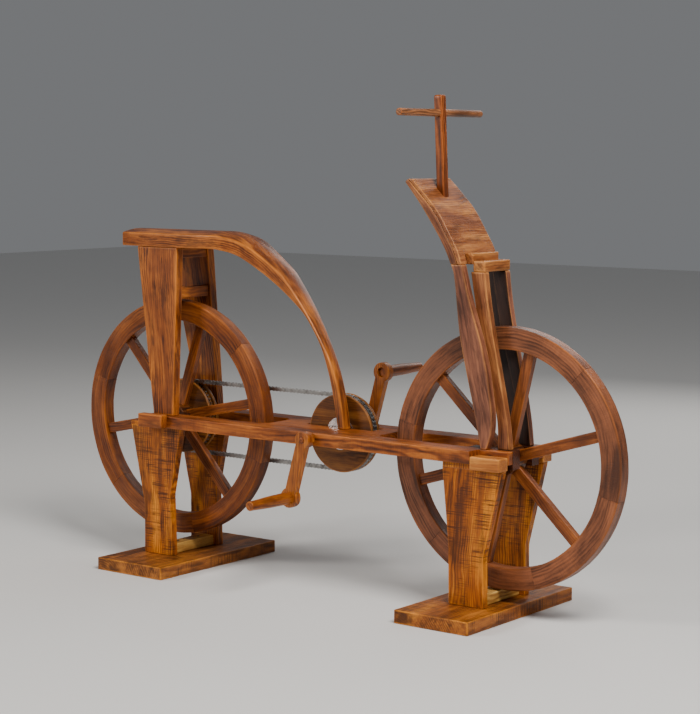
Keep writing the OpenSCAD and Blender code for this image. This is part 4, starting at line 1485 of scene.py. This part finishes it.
@dataclass
class Wheel:
    """Six rim segments, six spokes and a turned hub."""

    shop: Workshop
    end: str
    first_spoke: float
    count: int = 6
    depth: float = 60 * MM
    spoke_w: float = 31 * MM
    joint: float = 0.4 * MM
    hub_d: float = 84 * MM

    def build(self) -> None:
        """Makes the rim, the spokes and the hub, and dresses the bush."""
        shop, end = self.shop, self.end
        centre = shop.pivot(f"{end}_wheel_spin")
        angles = math.radians(self.first_spoke) + np.arange(self.count) * 2 * np.pi / self.count
        shop.fit(f"{end}_felloes", [self.felloe(centre, angle, i) for i, angle in enumerate(angles)])
        shop.fit(f"{end}_spokes", [self.spoke(centre, angle, i) for i, angle in enumerate(angles)])
        shop.fit(f"{end}_hub", [self.hub(centre)])
        shop.dress(f"{end}_bush")

    def around(self, centre: Array, angle: Array, radius: Array | float) -> Array:
        """Places on circles about a wheel's axle.

        Args:
            centre: The axle.
            angle: Angles above +X, in radians.
            radius: The circles' radius.

        Returns:
            (n, 3) points.
        """
        flat = np.stack([centre[0] + radius * np.cos(angle), centre[2] + radius * np.sin(angle)], 1)
        return in_side_view(flat, centre[1])

    def felloe(self, centre: Array, angle: float, index: int) -> Skin:
        """A rim segment: the rim's section carried along an arc about a spoke's end.

        Args:
            centre: The axle.
            angle: The spoke's angle.
            index: Which one.

        Returns:
            Its skin.
        """
        low, high = self.shop.box(f"{self.end}_felloes")
        outer, half_y = (high[2] - low[2]) / 2, (high[1] - low[1]) / 2
        radius = outer - self.depth / 2
        half_turn = np.pi / self.count - self.joint / 2 / radius
        turn = angle + np.linspace(-half_turn, half_turn, 60)
        line = self.around(centre, turn, radius)
        out = np.stack([np.cos(turn), np.zeros_like(turn), np.sin(turn)], 1)
        return Timber(line, out, Y_AXIS, self.depth / 2, half_y, 3 * MM, end_edge=0.5 * MM, uneven=0.9 * MM,
                      spacing=9 * MM, section=Section(4, 4), seed=50 + index).skin()

    def spoke(self, centre: Array, angle: float, index: int) -> Skin:
        """A straight spoke from just inside the hub's skin to just inside the rim's.

        Args:
            centre: The axle.
            angle: The spoke's angle.
            index: Which one.

        Returns:
            Its skin.
        """
        low, high = self.shop.box(f"{self.end}_felloes")
        start, stop = self.hub_d / 2 - 3 * MM, (high[2] - low[2]) / 2 - self.depth + 4 * MM
        half_y = self.shop.box(f"{self.end}_spokes")[1][1]
        reach = np.linspace(start, stop, 12)
        line = self.around(centre, np.full_like(reach, angle), reach)
        side = np.array([-math.sin(angle), 0, math.cos(angle)])
        return Timber(line, side, Y_AXIS, self.spoke_w / 2, half_y, 2.5 * MM, uneven=0.7 * MM,
                      section=Section(4, 3), seed=60 + index).skin()

    def hub(self, centre: Array) -> Skin:
        """The turned hub; the rear one runs on as a spigot under the discs.

        Args:
            centre: The axle.

        Returns:
            Its skin.
        """
        low, high = self.shop.box(f"{self.end}_hub")
        bore = self.shop.box(f"{self.end}_bush")[1][2] - centre[2] + 0.05 * MM
        radius, face = self.hub_d / 2, low[1]
        if self.end == "front":
            corners = [(bore, face), (radius, face), (radius, high[1]), (bore, high[1])]
        else:
            shoulder = self.shop.box("sprocket_disc_right")[0][1]
            spigot = radius * 0.7
            corners = [(bore, face), (radius, face), (radius, shoulder), (spigot, shoulder),
                       (spigot, high[1]), (bore, high[1])]
        return turned(corners, centre * (1, 0, 1), 2 * MM, Grain.ACROSS, True, uneven=0.3 * MM)


@dataclass
class Drive:
    """The discs beside the chain, the cranks with their collars and pegs, and the metalwork."""

    shop: Workshop
    disc_t: float = 9 * MM
    arm_bore: float = 9.05 * MM
    sprocket_bore: float = 29.45 * MM
    spigot: float = 14 * MM
    spigot_l: float = 14.5 * MM
    collar_t: float = 9 * MM
    peg_d: float = 36 * MM
    peg_end_d: float = 27 * MM
    plug: float = 3 * MM

    def build(self) -> None:
        """Makes the wooden pieces of the drive and dresses the metal ones."""
        shop = self.shop
        rear, crank = shop.pivot("rear_wheel_spin"), shop.pivot("crank_spin")
        plugs = []
        for side, outer in (("right", 0), ("left", 1)):
            wheels = (("sprocket", rear, self.sprocket_bore), ("chainwheel", crank, self.arm_bore))
            for wheel, centre, bore in wheels:
                node = f"{wheel}_disc_{side}"
                shop.fit(node, [self.disc(node, centre, bore, outer)])
            pivot = shop.pivot(f"pedal_{side}_spin")
            bores = [(crank, self.arm_bore), (pivot, self.spigot)]
            shop.copy(f"crank_arm_{side}", 5 * MM, Grain.UPRIGHT, bores)
            shop.fit(f"pedal_{side}", [self.peg(side, pivot)])
            plugs.append(self.plug_skin(side, crank))
        plug_mesh = shop.mesh("crank_plugs", plugs)
        shop.place("crank_plugs", plug_mesh, "handle_oak", "crank")
        shop.fit("crank_collars", self.collars(crank))
        for node in ("rear_sprocket", "chainwheel", "crank_flanges", "chainwheel_bolts", "crank_axle",
                     "crank_bushes", "chain_links", "chain_rollers"):
            shop.dress(node)

    def disc(self, node: str, centre: Array, bore: float, outer: int) -> Skin:
        """A turned disc with the boss that carries the toothed ring.

        Args:
            node: The disc's node.
            centre: Its axle.
            bore: Radius of its bore.
            outer: 0 when its open face is at low y, 1 when it is at high y.

        Returns:
            Its skin.
        """
        low, high = self.shop.box(node)
        face, back = (low[1], high[1]) if outer == 0 else (high[1], low[1])
        inner = face + (self.disc_t if outer == 0 else -self.disc_t)
        radius = (high[2] - low[2]) / 2
        boss = radius - 12 * MM
        corners = [(bore, face), (radius, face), (radius, inner), (boss, inner), (boss, back), (bore, back)]
        return turned(corners, centre * (1, 0, 1), 2.4 * MM, Grain.ALONG, True, around=120, seed=70 + outer)

    def collars(self, crank: Array) -> list[Skin]:
        """The two collars between the rails and the cranks.

        Args:
            crank: The crank axle.

        Returns:
            Their skins.
        """
        low, high = self.shop.box("crank_collars")
        arm = self.shop.box("crank_arm_left")[0][1]
        thick = self.collar_t
        radius = (high[2] - low[2]) / 2
        skins = []
        for y0, y1 in ((arm - thick, arm), (-arm, thick - arm)):
            corners = [(self.arm_bore, y0), (radius, y0), (radius, y1), (self.arm_bore, y1)]
            skins.append(turned(corners, crank * (1, 0, 1), 1.6 * MM, Grain.ACROSS, True))
        return skins

    def plug_skin(self, side: str, crank: Array) -> Skin:
        """The round wooden plug that closes a crank's bore over the end of the axle.

        Args:
            side: right or left.
            crank: The crank axle.

        Returns:
            Its skin.
        """
        low, high = self.shop.box(f"crank_arm_{side}")
        sign, face = (-1, low[1]) if side == "right" else (1, high[1])
        back, front = face - sign * (self.plug - 0.2 * MM), face + sign * 1.6 * MM
        r = self.arm_bore - 0.8 * MM
        corners = [(0.0, back), (r, back), (r, front), (0.5 * r, front + sign * 1.0 * MM),
                   (0.0, front + sign * 1.2 * MM)]
        return turned(corners, crank * (1, 0, 1), 1 * MM, Grain.ACROSS, False, around=40)

    def peg(self, side: str, pivot: Array) -> Skin:
        """A shaved pedal peg with the spigot that turns in the crank.

        Args:
            side: right or left.
            pivot: A point on its axis.

        Returns:
            Its skin.
        """
        low, high = self.shop.box(f"pedal_{side}")
        sign, root, tip = (-1, high[1], low[1]) if side == "right" else (1, low[1], high[1])
        shoulder = root + sign * self.spigot_l
        spigot, big, small = self.spigot, self.peg_d / 2, self.peg_end_d / 2
        reach = np.linspace(0, 1, 14)
        y = shoulder + reach * (tip - shoulder)
        radii = np.where(reach < 0.12, big, big + (small - big) * (reach - 0.12) / 0.88)
        radii = radii * (1 - 0.02 * np.sin(reach * 9))
        corners = [(0.0, root), (spigot, root), (spigot, shoulder)] + list(zip(radii, y)) + [(0.0, tip)]
        return turned(
            corners, pivot * (1, 0, 1), 1.6 * MM, Grain.ACROSS, False, around=40, uneven=0.7 * MM, seed=80
        )


@dataclass
class Studio:
    """A pale floor, soft light and the camera."""

    place: tuple[float, float, float] = (3.3382, -4.3243, 1.2264)
    yaw: float = 37.19
    pitch: float = 6.01
    roll: float = 0.23
    lens: float = 98.86
    long_side: float = 36.0

    def build(self) -> None:
        """Makes the floor, the lights, the world and the camera."""
        self.floor()
        self.light("key", (-3.2, -4.4, 2.9), 1.6, 175, (1.0, 0.96, 0.91))
        self.light("top", (2.6, -1.4, 3.7), 1.6, 205, (1.0, 0.97, 0.94))
        self.light("back", (-0.6, 4.2, 2.4), 2.4, 50, (1.0, 0.98, 0.95))
        world = bpy.data.worlds.new("studio")
        bpy.context.scene.world = world
        world.use_nodes = True
        air = world.node_tree.nodes["Background"]
        air.inputs[0].default_value = (0.80, 0.82, 0.85, 1)
        air.inputs[1].default_value = 0.22
        self.camera()

    def floor(self) -> None:
        """A large plain floor."""
        mesh = bpy.data.meshes.new("floor")
        reach = 14.0
        mesh.from_pydata([(-reach, -reach, 0), (reach, -reach, 0), (reach, reach, 0), (-reach, reach, 0)], [],
                         [(0, 1, 2, 3)])
        recipe = Recipe("floor")
        recipe.shader.inputs["Base Color"].default_value = (0.72, 0.71, 0.69, 1)
        recipe.shader.inputs["Roughness"].default_value = 0.8
        mesh.materials.append(recipe.material)
        floor = bpy.data.objects.new("floor", mesh)
        bpy.context.scene.collection.objects.link(floor)

    def light(self, name: str, place: tuple, size: float, power: float, colour: tuple) -> None:
        """A soft square light that looks at the bicycle's middle.

        Args:
            name: The light's name.
            place: Where it hangs.
            size: Length of its sides.
            power: Its power in watts.
            colour: Its colour.
        """
        lamp = bpy.data.lights.new(name, "AREA")
        lamp.shape, lamp.size, lamp.energy, lamp.color = "SQUARE", size, power, colour
        holder = bpy.data.objects.new(name, lamp)
        bpy.context.scene.collection.objects.link(holder)
        holder.location = place
        aim = Vector((0, 0, 0.6)) - Vector(place)
        holder.rotation_euler = aim.to_track_quat("-Z", "Y").to_euler()

    def camera(self) -> None:
        """The camera, from its place and three angles."""
        yaw, pitch, roll = (math.radians(a) for a in (self.yaw, self.pitch, self.roll))
        flat = math.cos(pitch)
        ahead = np.array([-math.sin(yaw) * flat, math.cos(yaw) * flat, -math.sin(pitch)])
        level = np.array([math.cos(yaw), math.sin(yaw), 0])
        up = np.cross(level, ahead)
        right = math.cos(roll) * level + math.sin(roll) * up
        up = np.cross(right, ahead)
        view = bpy.data.cameras.new("camera")
        view.lens, view.sensor_width = self.lens, self.long_side
        view.clip_start, view.clip_end = 0.1, 100
        camera = bpy.data.objects.new("camera", view)
        bpy.context.scene.collection.objects.link(camera)
        turn = Matrix(np.stack([right, up, -ahead], 1).tolist())
        camera.matrix_world = Matrix.Translation(self.place) @ turn.to_4x4()
        bpy.context.scene.camera = camera


def corners(box: tuple[Vector, Vector]) -> list[list[float]]:
    """A box as plain lists of numbers."""
    return [list(corner) for corner in box]


def main() -> None:
    """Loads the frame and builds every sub-assembly."""
    logging.basicConfig(level=logging.INFO, format="%(message)s")
    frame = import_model()
    shop = Workshop(frame)
    Studio().build()
    for part in (
        Stand(shop, "rear"), Stand(shop, "front"), MainFrame(shop), Seat(shop), FrontEnd(shop),
        Wheel(shop, "rear", 12.0), Wheel(shop, "front", 17.0), Drive(shop),
    ):
        part.build()
    LOG.info("%d pieces made", shop.made)


if __name__ == "__main__":
    main()
